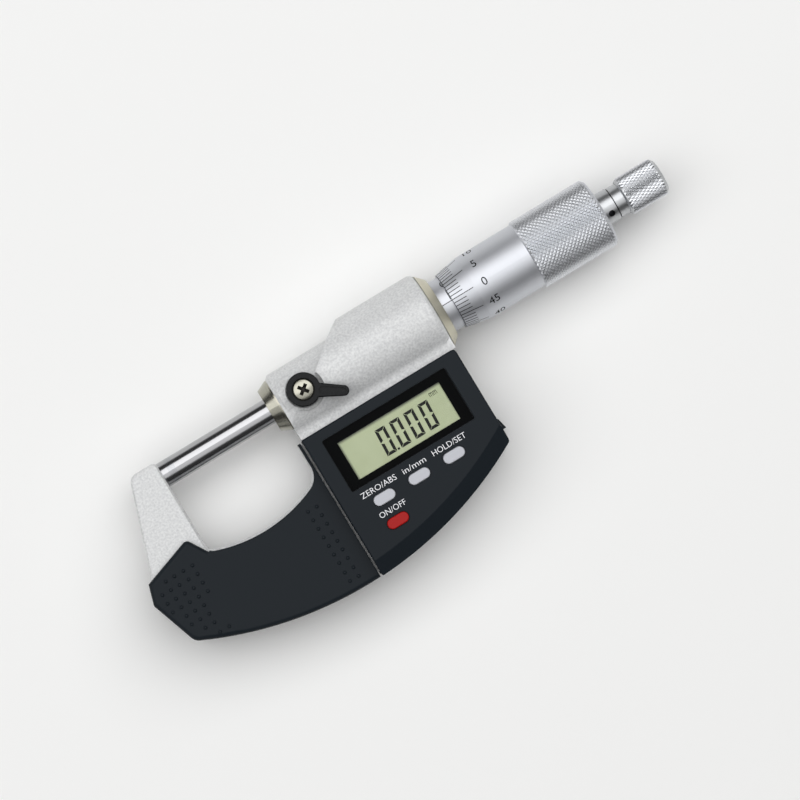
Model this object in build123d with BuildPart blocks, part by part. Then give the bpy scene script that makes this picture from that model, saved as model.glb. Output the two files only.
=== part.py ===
"""Digital outside micrometer, 0 to 25 mm, lying on its back, closed.

The origin is on the flat back that the tool rests on. +X runs along the measuring axis from the
anvil to the ratchet, +Y from the grip to the barrel, and +Z out of the display. Millimetres.
Places on the tool are counted from the point where anvil and spindle meet.
"""
import os
from math import cos, radians, sin, sqrt

from build123d import *

# Fits and clearances
RUN_FIT = 0.04
SEAT_FIT = 0.02
AIR = 0.3
EDGE = 0.4

# Measuring line
SPINDLE_R = 3.25
TIP_LENGTH = 1.0
THREAD_R = 3.5
FACE_GAP = 0.01
KEYWAY_WIDTH = 1.2
KEYWAY_DEPTH = 0.8

# Barrel and nose of the frame
BARREL_R = 10.9
NOSE_R = 7.84
NOSE_START = 30.65
NOSE_CHAMFER = 0.9
BLEND_START = 48.65
BLEND_END = 53.2
BARREL_END = 74.8
BARREL_CORNER = 1.6
BACK_STEP = 0.05
BARREL_BORE_R = 8.9
STATOR_X, ROTOR_SPACE = 61.4, 7.4
BARREL_FLOOR = STATOR_X - ROTOR_SPACE
BORE_STEP = 0.3

# Arm, throat and outlines of the frame
ARM_T = 10.0
ARM_TOP = 3.75
ARM_FACE = -2.7
ARM_WIDTH = 7.2
ARM_SLOPE = 0.34
THROAT_END = 29.0
ARCH_R = 37.2
ARCH_X = 11.5
ARCH_LOW = -24.1
ARM_CORNER_R = 1.3
ARM_EDGE = 0.45
THROAT_LEFT_R = 2.0
THROAT_RIGHT_R = 5.0
WEB_T = 14.8
WEB_LOW = -10.3
WEB_END = 74.5
WEB_CORNER_R = 2.5
BELLY_R = 98.0
BELLY_X = 26.6
BELLY_LOW = -48.7

# Display housing and rear cover
HOUSING_LEFT = 30.45
HOUSING_TOP = -10.35
HOUSING_WIDTH = 43.4
HOUSING_CORNER = 1.0
HOUSING_FRONT = 11.5
HOUSING_WALL = 1.4
FRONT_WALL = 1.6
HOUSING_INSET = 0.5
BAND_WIDTH = 4.2
BAND_DROP = 1.9
LENS_SHIFT, LENS_Y = -0.2, -20.28
LENS_WIDTH, LENS_HEIGHT, LENS_T = 34.96, 14.64, 1.0
LENS_SUNK = 0.3
POCKET_DEPTH = 2.0

# Grip covers
GRIP_RIGHT = 29.95
GRIP_TOP = -10.75
GRIP_T = 2.5
GRIP_WRAP = 1.25
GRIP_PEAK = (-6.0, -16.4)
GRIP_SHOULDER = (-19.3, -21.0)
GRIP_HEEL = (-20.9, -26.2)
GRIP_CORNER = (-16.65, -38.9)
GRIP_PEAK_R, GRIP_HEEL_R, GRIP_CORNER_R = 1.3, 1.5, 3.0
GRIP_REVEAL = 0.45
GRIP_PARTING = 0.05

# Lock lever
LEVER_X = 37.3
LEVER_R = 4.2
LEVER_REACH = 11.15
LEVER_ANGLE = -32.6
LEVER_ROOT_W = 3.75
LEVER_TIP_W = 2.6
LEVER_TOP = 13.2
LEVER_SEAT = 6.5
LEVER_PLAY = 0.2
LEVER_SEAT_R = 5.25
SHAFT_R = 2.0
LOCK_SCREW_HEAD_R = 2.7

# Sleeve, thimble and ratchet
SLEEVE_R = 6.85
SLEEVE_BORE_R = 5.9
SLEEVE_START = 76.9
SLEEVE_END = 106.0
INNER_SLEEVE_END = 111.0
NUT_START = 96.0
THIMBLE_EDGE = 79.66
THIMBLE_EDGE_R = 7.33
THIMBLE_R = 8.6
BEVEL_END = 86.15
GRIP_START = 101.6
THIMBLE_GRIP_R = 8.92
THIMBLE_END = 122.67
THIMBLE_FIT = 0.12
HUB_START = 113.6
TAPER_START = 114.0
TAPER_END = 119.2
TAPER_R, TAPER_END_R = 3.2, 2.6
COLLAR_R = 4.24
COLLAR_END = 126.3
KNOB_START = 126.6
KNOB_STEP = 129.05
KNOB_END = 140.07
KNOB_NECK_R = 4.04
KNOB_R = 4.8
KNOB_BORE_R = 3.4
KNOB_FLOOR = 134.0
KNOB_WEB = 2.4
TOOTH_COUNT = 24
TOOTH_HEIGHT = 0.5
TOOTH_START = 127.0
TOOTH_IN_R, TOOTH_OUT_R = 2.0, 3.2
POST_R = 1.25

# Buttons, board and battery
SCREW_R, SCREW_HEAD_R, SCREW_HOLE_R = 0.95, 1.9, 1.15
BOSS_R, HOUSING_BOSS_R, COVER_BOSS_R = 1.6, 2.1, 3.0
SCREW_INSET_X, SCREW_TOP_Y, SCREW_LOW_Y = 2.9, -13.2, -45.2
BELLY_SCREW_INSET, BELLY_SCREW_Y = 6.5, -37.0
BOARD_INSET, BOARD_TOP_Y, BOARD_RIGHT_Y, BOARD_LOW_Y = 4.8, -12.4, -33.0, -43.0
BOARD_LOW_WIDTH = 10.8
GRIP_SCREWS = ((-13.0, -28.5), (6.0, -36.0), (24.0, -36.0))
BUTTON_WIDTH, BUTTON_HEIGHT = 5.7, 2.7
BUTTON_PROUD = 0.6
BUTTON_TRAVEL = 0.6
BUTTON_FIT = 0.12
BUTTON_ROW_Y = -32.5
BUTTON_PITCH = 9.85
BUTTONS_SHIFT = -1.45
POWER_SHIFT, POWER_Y = -0.1, -39.0
BOARD_T = 1.2
LCD_T = 1.4
LCD_WIDTH, LCD_HEIGHT = 30.4, 12.0
WINDOW_WIDTH, WINDOW_HEIGHT = 31.4, 12.6
HOLDER_WALL = 1.2
BATTERY_SHIFT, BATTERY_Y = -0.95, -31.6
BATTERY_R, BATTERY_T = 8.0, 3.2
CAP_R, CAP_T = 10.4, 1.2
CAP_SUNK = 0.1
CAP_PLUG_R, CAP_PLUG_WALL, CAP_PLUG_T = 9.0, 0.75, 2.05
CAP_LUG_COUNT, CAP_LUG_ANGLE, CAP_LUG_T, CAP_LUG_R = 3, 16, 0.75, 9.7
CAP_TURN = 60
CAP_BOSS_R, CAP_BOSS_T = 11.6, 3.4
SEAL_R, SEAL_PLACE_R = 0.28, 9.75

# Data port at the right side of the rear cover
PORT_Y = -29.2
PORT_LENGTH, PORT_HEIGHT = 7.6, 2.9
PORT_Z = -7.5
SHUTTER_LENGTH, SHUTTER_WIDTH, SHUTTER_T = 8.8, 3.9, 0.75
SHUTTER_TRAVEL = 8.5
TAB_LENGTH, TAB_RISE, TAB_LOW, TAB_HIGH, TAB_WIDTH = 2.9, 0.5, 1.2, 1.85, 2.4

# Inner ends, seats and small steps
ANVIL_LENGTH = 8.0
SPOT_DEPTH, SPOT_R = 0.6, 3.9
SHOULDER_LOW, SHOULDER_RUN, SHOULDER_Y, SHOULDER_R = -5.9, 2.0, -3.95, 1.0
SLANT_START = (42.0, 2.2)
BLEND_START_R, BLEND_END_R = 1.5, 3.0
BUSH_END, BUSH_R = 34.9, 4.5
COLLAR_FRONT, COLLAR_FRONT_R, COLLAR_REAR_R, COLLAR_LAND = 27.65, 5.64, 6.9, 0.35
RING_R, RING_CONE, RING_LAND, RING_FACE_R = 10.05, 1.8, 0.3, 7.9
RING_BORE_R = 7.4
FLANGE_START, FLANGE_END = 69.5, 72.5
INNER_BORE_R = 4.3
NUT_SEAT_R = 5.2
SLIT_COUNT, SLIT_WIDTH, SLIT_LENGTH = 3, 0.6, 9.0
NUT_HOLE_COUNT = 4
DISC_T = 1.2
ENCODER_GAP = 0.2
STATOR_BORE_R = 4.2
ROTOR_R, ROTOR_HUB_R, ROTOR_BUSH_R = 8.3, 4.4, 5.5
SPRING_SPACE, WASHER_T = 0.8, 0.3
THREAD_START, THREAD_END = 70.5, 112.5
KEYWAY_START, KEYWAY_LAP = 28.9, 4.6
STUD_START, STUD_R = 108.0, 1.6
GRIP_STEP = 0.3
POST_END = 136.3
SCREW_SHANK, SHANK_R = 5.0, 0.8
COLLAR_HOLE_X, COLLAR_HOLE_R, COLLAR_HOLE_DEPTH, COLLAR_HOLE_ANGLE = 124.56, 0.85, 2.0, 119.0
RING_TEETH_END, RING_END = 127.55, 129.3
TOOTH_GAP, TOOTH_BACKLASH = 0.05, 0.4
LUG_COUNT, LUG_WIDTH, LUG_HEIGHT = 3, 1.2, 0.3
KNOB_RECESS_R = 2.9
SPRING_PITCH, SPRING_R, WIRE_R = 0.9, 2.1, 0.2
RATCHET_HEAD_R, RATCHET_HEAD_T = 2.3, 1.1
PAD_T = 1.2
SHAFT_TOP = 10.4
LOCK_SHANK = 4.0
LEVER_ARM_T, LEVER_EDGE_R, LEVER_RIM, LEVER_POCKET = 1.95, 0.3, 0.55, 0.8
LOCK_HEAD_SUNK, LOCK_HEAD_T, LOCK_HEAD_CROWN = 1.5, 1.45, 0.9
HOUSING_EDGE_R = 0.5
SCREW_BITE = 4.0
LENS_CORNER = 0.8
STRIP_WIDTH = 1.0
CHIP_SIZE, CHIP_T = 6.0, 0.8
RIBBON_LAP = 1.5
MAT_T, MAT_MARGIN, DOME_R, DOME_T = 0.7, 1.0, 1.8, 1.7
STEM_R = 1.1
BUTTON_FLANGE, BUTTON_FLANGE_T, BUTTON_EDGE_R = 0.6, 0.8, 0.3
GRIP_EDGE_R, GRIP_RIM_END, GRIP_ARCH_EDGE = 1.2, -7.8, 0.3
LEAD_SLOT_WIDTH, LEAD_SLOT_LENGTH = 3.0, 8.0
COVER_FLOOR, COVER_EDGE_R = 1.5, 0.8
COVER_HEAD_SEAT, COVER_HEAD_T = 3.95, 1.3
CAP_FIT, CAP_SLOT_ANGLE, CAP_STOP_ANGLE, CAP_STOP = 0.1, 20, 14, 1.0
COIN_SLOT = (10.0, 1.6, 0.7)
CONTACT_T, CONTACT_WIDTH, CONTACT_OUT = 0.2, 2.0, 2.0
SOCKET_LENGTH, SOCKET_DEPTH, SOCKET_WALL = 8.4, 6.9, 0.8
GRIP_HEAD_T = 1.1
SCREW_CROSS, SCREW_CROSS_WIDTH = 2.4, 0.5
BLADE_COUNT, BLADE_PITCH, BLADE_WIDTH, BLADE_T = 5, 1.27, 0.5, 0.4
SHUTTER_HOLD = 0.35
RIBBON_Z, RIBBON_WIDTH, RIBBON_T = 4.25, 1.0, 0.15

# Datum: where the measuring faces meet, seen from the rest face under the web
FACE_X, AXIS_Y = -52.0, 16.0
AXIS_H = BARREL_R + BACK_STEP
BACK = -AXIS_H
MEETING = (FACE_X, AXIS_Y, AXIS_H)
FRONT = Plane(origin=MEETING)
SECTION = Plane(origin=MEETING, x_dir=(1, 0, 0), z_dir=(0, -1, 0))
SPIN = Axis(MEETING, (1, 0, 0))

ARM_HALF = ARM_T / 2
WEB_HALF = WEB_T / 2
ARCH_CENTRE_Y = ARCH_LOW + ARCH_R
BELLY_CENTRE_Y = BELLY_LOW + BELLY_R
BORE_R = SPINDLE_R + RUN_FIT
HOUSING_RIGHT = HOUSING_LEFT + HOUSING_WIDTH
LENS_X = HOUSING_LEFT + HOUSING_WIDTH / 2 + LENS_SHIFT
MIDDLE_BUTTON_X = LENS_X + BUTTONS_SHIFT
POWER_X = MIDDLE_BUTTON_X - BUTTON_PITCH + POWER_SHIFT
BATTERY_X = LENS_X + BATTERY_SHIFT
COVER_SCREWS = (
    (HOUSING_LEFT + SCREW_INSET_X, SCREW_TOP_Y),
    (HOUSING_RIGHT - SCREW_INSET_X, SCREW_TOP_Y),
    (HOUSING_LEFT + SCREW_INSET_X, SCREW_LOW_Y),
    (HOUSING_RIGHT - BELLY_SCREW_INSET, BELLY_SCREW_Y),
)
BOARD_CORNERS = (
    (HOUSING_LEFT + BOARD_INSET, BOARD_TOP_Y),
    (HOUSING_RIGHT - BOARD_INSET, BOARD_TOP_Y),
    (HOUSING_RIGHT - BOARD_INSET, BOARD_RIGHT_Y),
    (HOUSING_LEFT + BOARD_INSET + BOARD_LOW_WIDTH, BOARD_LOW_Y),
    (HOUSING_LEFT + BOARD_INSET, BOARD_LOW_Y),
)
HOUSING_INNER = HOUSING_FRONT - FRONT_WALL
PITCH_ANGLE = 360 / TOOTH_COUNT
RIBBON_X = STATOR_X + DISC_T / 2
COLLAR_HOLE_OUT = (0, cos(radians(COLLAR_HOLE_ANGLE)), sin(radians(COLLAR_HOLE_ANGLE)))
KEYWAY_END = STATOR_X + KEYWAY_LAP
BASE = (Align.CENTER, Align.CENTER, Align.MIN)
ROOF = (Align.CENTER, Align.CENTER, Align.MAX)
TO_RIGHT = (Align.MIN, Align.CENTER, Align.MIN)
TO_LEFT = (Align.MAX, Align.CENTER, Align.CENTER)
UPWARD = (Align.CENTER, Align.MIN, Align.MIN)
SLIDE_START = Plane(
    FRONT.from_local_coords(Vector(HOUSING_RIGHT - RUN_FIT, PORT_Y - SHUTTER_LENGTH / 2, PORT_Z)),
    x_dir=(1, 0, 0),
    z_dir=(0, -1, 0),
)


def across(x):
    """The plane square to the measuring axis at x: its own x is +Y and its own y is +Z."""
    return Plane(origin=(FACE_X + x, AXIS_Y, AXIS_H), x_dir=(0, 1, 0), z_dir=(1, 0, 0))


def half_section(*corners):
    """The closed half section through (place along the axis, radius) corners."""
    with BuildSketch(SECTION) as half:
        with BuildLine():
            Polyline(*corners, close=True)
        make_face()
    return half.sketch


def ring_section(start, end, outer_r, inner_r=0.0):
    """The half section of a plain turned ring or disc."""
    return half_section((start, inner_r), (start, outer_r), (end, outer_r), (end, inner_r))


def housing_outline(inset=0.0):
    """Outline of display housing and rear cover: three straight sides and the curved belly."""
    with BuildSketch() as outline:
        with Locations((HOUSING_LEFT, HOUSING_TOP)):
            Rectangle(HOUSING_WIDTH, BELLY_R, align=(Align.MIN, Align.MAX))
        with Locations((BELLY_X, BELLY_CENTRE_Y)):
            Circle(BELLY_R, mode=Mode.INTERSECT)
        fillet(outline.vertices().group_by(Axis.X)[-1], HOUSING_CORNER)
        fillet(outline.vertices().group_by(Axis.X)[0], EDGE)
        if inset:
            offset(amount=-inset, mode=Mode.REPLACE)
    return outline.sketch


def throat(reveal=0.0):
    """The C-shaped gap between the measuring faces; reveal widens it under a cover's edge."""
    with BuildSketch() as gap:
        with Locations((ARM_FACE, ARM_TOP + ARM_T)):
            Rectangle(THROAT_END + reveal / 2 - ARM_FACE, ARCH_R + ARM_T, align=(Align.MIN, Align.MAX))
        with Locations((ARCH_X, ARCH_CENTRE_Y)):
            Circle(ARCH_R + reveal, mode=Mode.INTERSECT)
        fillet(gap.vertices().sort_by(Axis.Y)[:2].sort_by(Axis.X)[0], THROAT_LEFT_R)
        fillet(gap.vertices().sort_by(Axis.Y)[:3].sort_by(Axis.X)[-1], THROAT_RIGHT_R)
    return gap.sketch


def grip_outline(inset=0.0):
    """Outline of a grip cover: shoulder and peak round the arm, the arch, the seam, the belly."""
    low = BELLY_LOW - ARM_T
    foot = (ARM_FACE, ARCH_CENTRE_Y - sqrt((ARCH_R + GRIP_REVEAL) ** 2 - (ARM_FACE - ARCH_X) ** 2))
    corners = ((GRIP_PEAK, GRIP_PEAK_R), (GRIP_HEEL, GRIP_HEEL_R), (GRIP_CORNER, GRIP_CORNER_R))
    with BuildSketch() as outline:
        with BuildLine():
            Polyline(
                GRIP_SHOULDER,
                GRIP_PEAK,
                foot,
                (THROAT_END, GRIP_TOP),
                (GRIP_RIGHT, GRIP_TOP),
                (GRIP_RIGHT, low),
                (GRIP_CORNER[0], low),
                GRIP_CORNER,
                GRIP_HEEL,
                close=True,
            )
        make_face()
        with Locations((BELLY_X, BELLY_CENTRE_Y)):
            Circle(BELLY_R, mode=Mode.INTERSECT)
        for place, radius in corners:
            fillet(outline.vertices().sort_by_distance(place)[0], radius)
        if inset:
            offset(amount=-inset, mode=Mode.REPLACE)
        add(throat(GRIP_REVEAL), mode=Mode.SUBTRACT)
    return outline.sketch


def grip_rim(edges):
    """The edges round the outside of a grip cover, from its peak to the end of the belly."""
    return edges.filter_by(lambda edge: edge.bounding_box().min.X < FACE_X + GRIP_RIM_END)


def arch_edge(edges):
    """The edges of a grip cover along the arch of the throat."""
    return edges.filter_by(GeomType.CIRCLE).filter_by_position(Axis.Y, AXIS_Y + ARCH_LOW - EDGE, AXIS_Y)


def casting_outline(growth=0.0):
    """Outline of the casting's plate with its arm, larger by growth all round."""
    arm_left = ARM_FACE - ARM_WIDTH
    arm_low = GRIP_TOP - ARM_T
    with BuildSketch() as outline:
        add(grip_outline(GRIP_WRAP))
        add(housing_outline(HOUSING_INSET))
        with Locations((ARM_FACE, GRIP_TOP - EDGE)):
            Rectangle(GRIP_RIGHT + ARM_T - ARM_FACE, ARCH_R, align=(Align.MIN, Align.MAX))
        with Locations((BELLY_X, BELLY_CENTRE_Y)):
            Circle(BELLY_R - GRIP_WRAP, mode=Mode.INTERSECT)
        with Locations((NOSE_START, WEB_LOW)):
            Rectangle(HOUSING_RIGHT - HOUSING_INSET - NOSE_START, ARM_T, align=(Align.MIN, Align.MAX))
        with BuildLine():
            Polyline(
                (ARM_FACE, ARM_TOP),
                (arm_left, ARM_TOP),
                (arm_left - ARM_SLOPE * (ARM_TOP - arm_low), arm_low),
                (arm_left, arm_low - ARM_T),
                (ARM_FACE, arm_low - ARM_T),
                close=True,
            )
        make_face()
        add(throat(), mode=Mode.SUBTRACT)
        fillet(outline.vertices().sort_by_distance((ARM_FACE, ARM_TOP))[0], ARM_CORNER_R)
        fillet(outline.vertices().sort_by_distance((arm_left, ARM_TOP))[0], 2 * ARM_CORNER_R)
        if growth:
            offset(amount=growth, mode=Mode.REPLACE)
    return outline.sketch


def on_throat(place):
    """Whether a point lies on the flat faces of the plate and round the arm or the throat."""
    local = place - Vector(MEETING)
    round_arm = local.X < ARM_FACE + EDGE and local.Y > GRIP_PEAK[1]
    round_throat = ARM_FACE - EDGE < local.X < THROAT_END + EDGE and GRIP_SHOULDER[1] - ARM_T < local.Y
    return abs(abs(local.Z) - ARM_HALF) < EDGE and (round_arm or round_throat)


def stadium(growth=0.0):
    """Outline of a push button, larger by growth all round."""
    with BuildSketch() as slot:
        SlotOverall(BUTTON_WIDTH + 2 * growth, BUTTON_HEIGHT + 2 * growth)
    return slot.sketch


def spots(places, height):
    """Planes facing out of the display at the given places and height."""
    return [FRONT.offset(height) * Location((x, y, 0)) for x, y in places]


def lug_sector(radius, angle):
    """A sector of a disc, as wide as the angle and centred on the local x axis."""
    half = radians(angle / 2)
    start = (radius * cos(half), -radius * sin(half))
    end = (radius * cos(half), radius * sin(half))
    with BuildSketch() as sector:
        with BuildLine():
            ThreePointArc(start, (radius, 0), end)
            Polyline(end, (0, 0), start)
        make_face()
    return sector.sketch


def shutter_section(growth=0.0):
    """Undercut section of the port shutter across its slide, larger by growth all round."""
    half = SHUTTER_WIDTH / 2
    with BuildSketch() as section:
        with BuildLine():
            Polyline(
                (-SHUTTER_T - growth, half + growth),
                (growth, half - SHUTTER_HOLD + growth),
                (growth, -half + SHUTTER_HOLD - growth),
                (-SHUTTER_T - growth, -half - growth),
                close=True,
            )
        make_face()
    return section.sketch


def turned_point(x, radius, angle):
    """A point at x along the measuring axis, counted round it from +Y towards +Z."""
    return Vector(FACE_X + x, AXIS_Y + radius * cos(radians(angle)), AXIS_H + radius * sin(radians(angle)))


def face_tooth(*corners):
    """A wedge of a face ratchet through three (x, angle) corners, radial all the way out."""
    rims = []
    for radius in (TOOTH_IN_R, TOOTH_OUT_R):
        rims.append(Wire.make_polygon([turned_point(x, radius, angle) for x, angle in corners]))
    return Solid.make_loft(rims, ruled=True)


os.makedirs("parts", exist_ok=True)

# Raised front of the barrel beside the lever: the barrel's round, cut back along a slanting edge
with BuildPart() as shoulder:
    with BuildSketch(FRONT):
        with BuildLine():
            Polyline(
                (NOSE_START, WEB_LOW),
                (NOSE_START, SHOULDER_LOW),
                (NOSE_START + SHOULDER_RUN, SHOULDER_Y),
                (LEVER_X, SHOULDER_Y),
                SLANT_START,
                (BLEND_START, NOSE_R),
                (BLEND_END, BARREL_R),
                (BLEND_END + NOSE_R, BARREL_R),
                (BLEND_END + NOSE_R, WEB_LOW),
                close=True,
            )
        make_face()
    extrude(amount=BARREL_R)
    fillet(shoulder.edges().filter_by(Axis.Z).sort_by(Axis.X)[1:4], SHOULDER_R)
    revolve(ring_section(NOSE_START, BLEND_END + NOSE_R, BARREL_R), axis=SPIN, mode=Mode.INTERSECT)

# Frame: one casting with arm, web, nose, barrel and the plate that carries the covers
with BuildPart() as frame:
    with BuildSketch(FRONT.offset(-ARM_HALF)):
        add(casting_outline())
    extrude(amount=ARM_T)
    throat_edges = frame.edges().filter_by(lambda edge: on_throat(edge.center()))
    chamfer(throat_edges, ARM_EDGE)
    with BuildSketch(FRONT.offset(-WEB_HALF)):
        with Locations((NOSE_START, WEB_LOW)):
            Rectangle(WEB_END - NOSE_START, -WEB_LOW, align=(Align.MIN, Align.MIN))
    extrude(amount=WEB_T)
    with BuildSketch(SECTION) as barrel_half:
        with BuildLine():
            Polyline(
                (NOSE_START, 0),
                (NOSE_START, NOSE_R - NOSE_CHAMFER),
                (NOSE_START + NOSE_CHAMFER, NOSE_R),
                (BLEND_START, NOSE_R),
                (BLEND_END, BARREL_R),
                (BARREL_END, BARREL_R),
                (BARREL_END, 0),
                close=True,
            )
        make_face()
        fillet(barrel_half.vertices().sort_by_distance((BLEND_START, NOSE_R))[0], BLEND_START_R)
        fillet(barrel_half.vertices().sort_by_distance((BLEND_END, BARREL_R))[0], BLEND_END_R)
        fillet(barrel_half.vertices().sort_by_distance((BARREL_END, BARREL_R))[0], BARREL_CORNER)
    revolve(axis=SPIN)
    add(shoulder.part)
    # Soft inner corners between barrel and web, in front along the shoulder too
    for side, start in ((1, NOSE_START), (-1, BLEND_END)):
        with BuildSketch(across(start)):
            corner_z = WEB_HALF + WEB_CORNER_R
            corner_y = -sqrt((BARREL_R + WEB_CORNER_R) ** 2 - corner_z**2)
            share = BARREL_R / (BARREL_R + WEB_CORNER_R)
            with BuildLine():
                Polyline(
                    (corner_y, side * WEB_HALF),
                    (share * corner_y, side * share * corner_z),
                    (share * corner_y, side * WEB_HALF),
                    close=True,
                )
            make_face()
            with Locations((corner_y, side * corner_z)):
                Circle(WEB_CORNER_R, mode=Mode.SUBTRACT)
        extrude(amount=BARREL_END - BARREL_CORNER - start)
    # Seat of the lock lever, milled into the nose, wider in the shoulder, and the shaft's hole
    with Locations(FRONT.offset(LEVER_SEAT) * Location((LEVER_X, 0, 0))):
        Cylinder(LEVER_R + LEVER_PLAY, BARREL_R, align=BASE, mode=Mode.SUBTRACT)
    with Locations(FRONT.offset(NOSE_R) * Location((LEVER_X, 0, 0))):
        Cylinder(LEVER_SEAT_R, BARREL_R, align=BASE, mode=Mode.SUBTRACT)
    with Locations(FRONT * Location((LEVER_X, 0, 0))):
        Cylinder(SHAFT_R + RUN_FIT, BARREL_R, align=BASE, mode=Mode.SUBTRACT)
    # Bores, from the nose to the open end of the barrel
    revolve(ring_section(NOSE_START, BUSH_END, BUSH_R + SEAT_FIT), axis=SPIN, mode=Mode.SUBTRACT)
    revolve(ring_section(BUSH_END, BARREL_FLOOR, BORE_R), axis=SPIN, mode=Mode.SUBTRACT)
    revolve(ring_section(BARREL_FLOOR, STATOR_X, BARREL_BORE_R - BORE_STEP), axis=SPIN, mode=Mode.SUBTRACT)
    revolve(ring_section(STATOR_X, BARREL_END, BARREL_BORE_R), axis=SPIN, mode=Mode.SUBTRACT)
    # Anvil hole through the arm and the small spot face round it
    revolve(ring_section(-ANVIL_LENGTH, ARM_FACE, SPINDLE_R + SEAT_FIT), axis=SPIN, mode=Mode.SUBTRACT)
    revolve(ring_section(ARM_FACE - SPOT_DEPTH, ARM_FACE, SPOT_R), axis=SPIN, mode=Mode.SUBTRACT)
    # Pocket for the board, slot for the battery leads and passage for the encoder ribbon
    with BuildSketch(FRONT.offset(ARM_HALF - POCKET_DEPTH)):
        with BuildLine():
            Polyline(*BOARD_CORNERS, close=True)
        make_face()
        offset(amount=AIR)
    extrude(amount=POCKET_DEPTH, mode=Mode.SUBTRACT)
    with Locations(FRONT.offset(-ARM_HALF) * Location((BATTERY_X, BATTERY_Y, 0))):
        Box(LEAD_SLOT_WIDTH, LEAD_SLOT_LENGTH, ARM_T, align=BASE, mode=Mode.SUBTRACT)
    with Locations(FRONT.offset(RIBBON_Z) * Location((RIBBON_X, BOARD_TOP_Y, 0))):
        Box(RIBBON_WIDTH + 2 * AIR, 2 * (-BOARD_TOP_Y - BORE_R), 4 * AIR, mode=Mode.SUBTRACT)
    # Screw holes
    with Locations(*spots(COVER_SCREWS, 0)):
        Cylinder(SCREW_HOLE_R, ARM_T, mode=Mode.SUBTRACT)
    with Locations(*spots(GRIP_SCREWS, 0)):
        Cylinder(BOSS_R + RUN_FIT, ARM_T, mode=Mode.SUBTRACT)
frame.part.label = "frame"
export_step(frame.part, "parts/frame.step")

# Anvil pressed into the arm, with a hard-metal tip brazed on
with BuildPart() as anvil:
    revolve(ring_section(-ANVIL_LENGTH, -TIP_LENGTH, SPINDLE_R), axis=SPIN)
anvil.part.label = "anvil"
export_step(anvil.part, "parts/anvil.step")

with BuildPart() as anvil_tip:
    revolve(ring_section(-TIP_LENGTH, 0, SPINDLE_R), axis=SPIN)
anvil_tip.part.label = "anvil_tip"
export_step(anvil_tip.part, "parts/anvil_tip.step")

# Nose bush: a journal for the spindle with a cone-shaped collar in front of the frame
with BuildPart() as nose_bush:
    revolve(
        half_section(
            (COLLAR_FRONT, BORE_R),
            (COLLAR_FRONT, COLLAR_FRONT_R),
            (NOSE_START - COLLAR_LAND, COLLAR_REAR_R),
            (NOSE_START, COLLAR_REAR_R),
            (NOSE_START, BUSH_R),
            (BUSH_END, BUSH_R),
            (BUSH_END, BORE_R),
        ),
        axis=SPIN,
    )
nose_bush.part.label = "nose_bush"
export_step(nose_bush.part, "parts/nose_bush.step")

# Rear ring: closes the barrel, clamps the encoder's fixed disc and holds the inner sleeve
with BuildPart() as rear_ring:
    revolve(
        half_section(
            (STATOR_X + DISC_T, RING_BORE_R),
            (STATOR_X + DISC_T, BARREL_BORE_R - SEAT_FIT),
            (BARREL_END, BARREL_BORE_R - SEAT_FIT),
            (BARREL_END, RING_R),
            (SLEEVE_START - RING_LAND, RING_R - RING_CONE),
            (SLEEVE_START, RING_FACE_R),
            (SLEEVE_START, SLEEVE_BORE_R + SEAT_FIT),
            (FLANGE_END, SLEEVE_BORE_R + SEAT_FIT),
            (FLANGE_END, RING_BORE_R),
        ),
        axis=SPIN,
    )
rear_ring.part.label = "rear_ring"
export_step(rear_ring.part, "parts/rear_ring.step")

# Inner sleeve: a flanged tube with the nut thread in its slotted end
with BuildPart() as inner_sleeve:
    revolve(
        half_section(
            (FLANGE_START, INNER_BORE_R),
            (FLANGE_START, RING_BORE_R - SEAT_FIT),
            (FLANGE_END, RING_BORE_R - SEAT_FIT),
            (FLANGE_END, SLEEVE_BORE_R),
            (SLEEVE_END, SLEEVE_BORE_R),
            (SLEEVE_END, NUT_SEAT_R),
            (INNER_SLEEVE_END, NUT_SEAT_R),
            (INNER_SLEEVE_END, THREAD_R + RUN_FIT),
            (NUT_START, THREAD_R + RUN_FIT),
            (NUT_START, INNER_BORE_R),
        ),
        axis=SPIN,
    )
    with Locations(across(INNER_SLEEVE_END)):
        with PolarLocations(NUT_SEAT_R, SLIT_COUNT):
            Box(2 * NUT_SEAT_R - THREAD_R, SLIT_WIDTH, 2 * SLIT_LENGTH, mode=Mode.SUBTRACT)
inner_sleeve.part.label = "inner_sleeve"
export_step(inner_sleeve.part, "parts/inner_sleeve.step")

# Graduated sleeve over the inner one
with BuildPart() as graduated_sleeve:
    revolve(ring_section(SLEEVE_START, SLEEVE_END, SLEEVE_R, SLEEVE_BORE_R + SEAT_FIT), axis=SPIN)
    end_edges = graduated_sleeve.edges().filter_by(GeomType.CIRCLE).sort_by(Axis.X)[-2:]
    chamfer(end_edges.sort_by(SortBy.RADIUS)[-1], EDGE / 2)
graduated_sleeve.part.label = "graduated_sleeve"
export_step(graduated_sleeve.part, "parts/graduated_sleeve.step")

# Adjusting nut on the slotted end, with spanner holes
with BuildPart() as adjusting_nut:
    nut_end = INNER_SLEEVE_END - EDGE
    revolve(ring_section(SLEEVE_END, nut_end, SLEEVE_R - SEAT_FIT, NUT_SEAT_R + SEAT_FIT), axis=SPIN)
    with Locations(across(nut_end)):
        with PolarLocations((SLEEVE_R + NUT_SEAT_R) / 2, NUT_HOLE_COUNT):
            Hole(EDGE, depth=2 * EDGE)
adjusting_nut.part.label = "adjusting_nut"
export_step(adjusting_nut.part, "parts/adjusting_nut.step")

# Encoder: a fixed disc against the step of the bore, and one that turns with the spindle
with BuildPart() as encoder_stator:
    revolve(ring_section(STATOR_X, STATOR_X + DISC_T, BARREL_BORE_R - SEAT_FIT, STATOR_BORE_R), axis=SPIN)
encoder_stator.part.label = "encoder_stator"
export_step(encoder_stator.part, "parts/encoder_stator.step")

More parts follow.
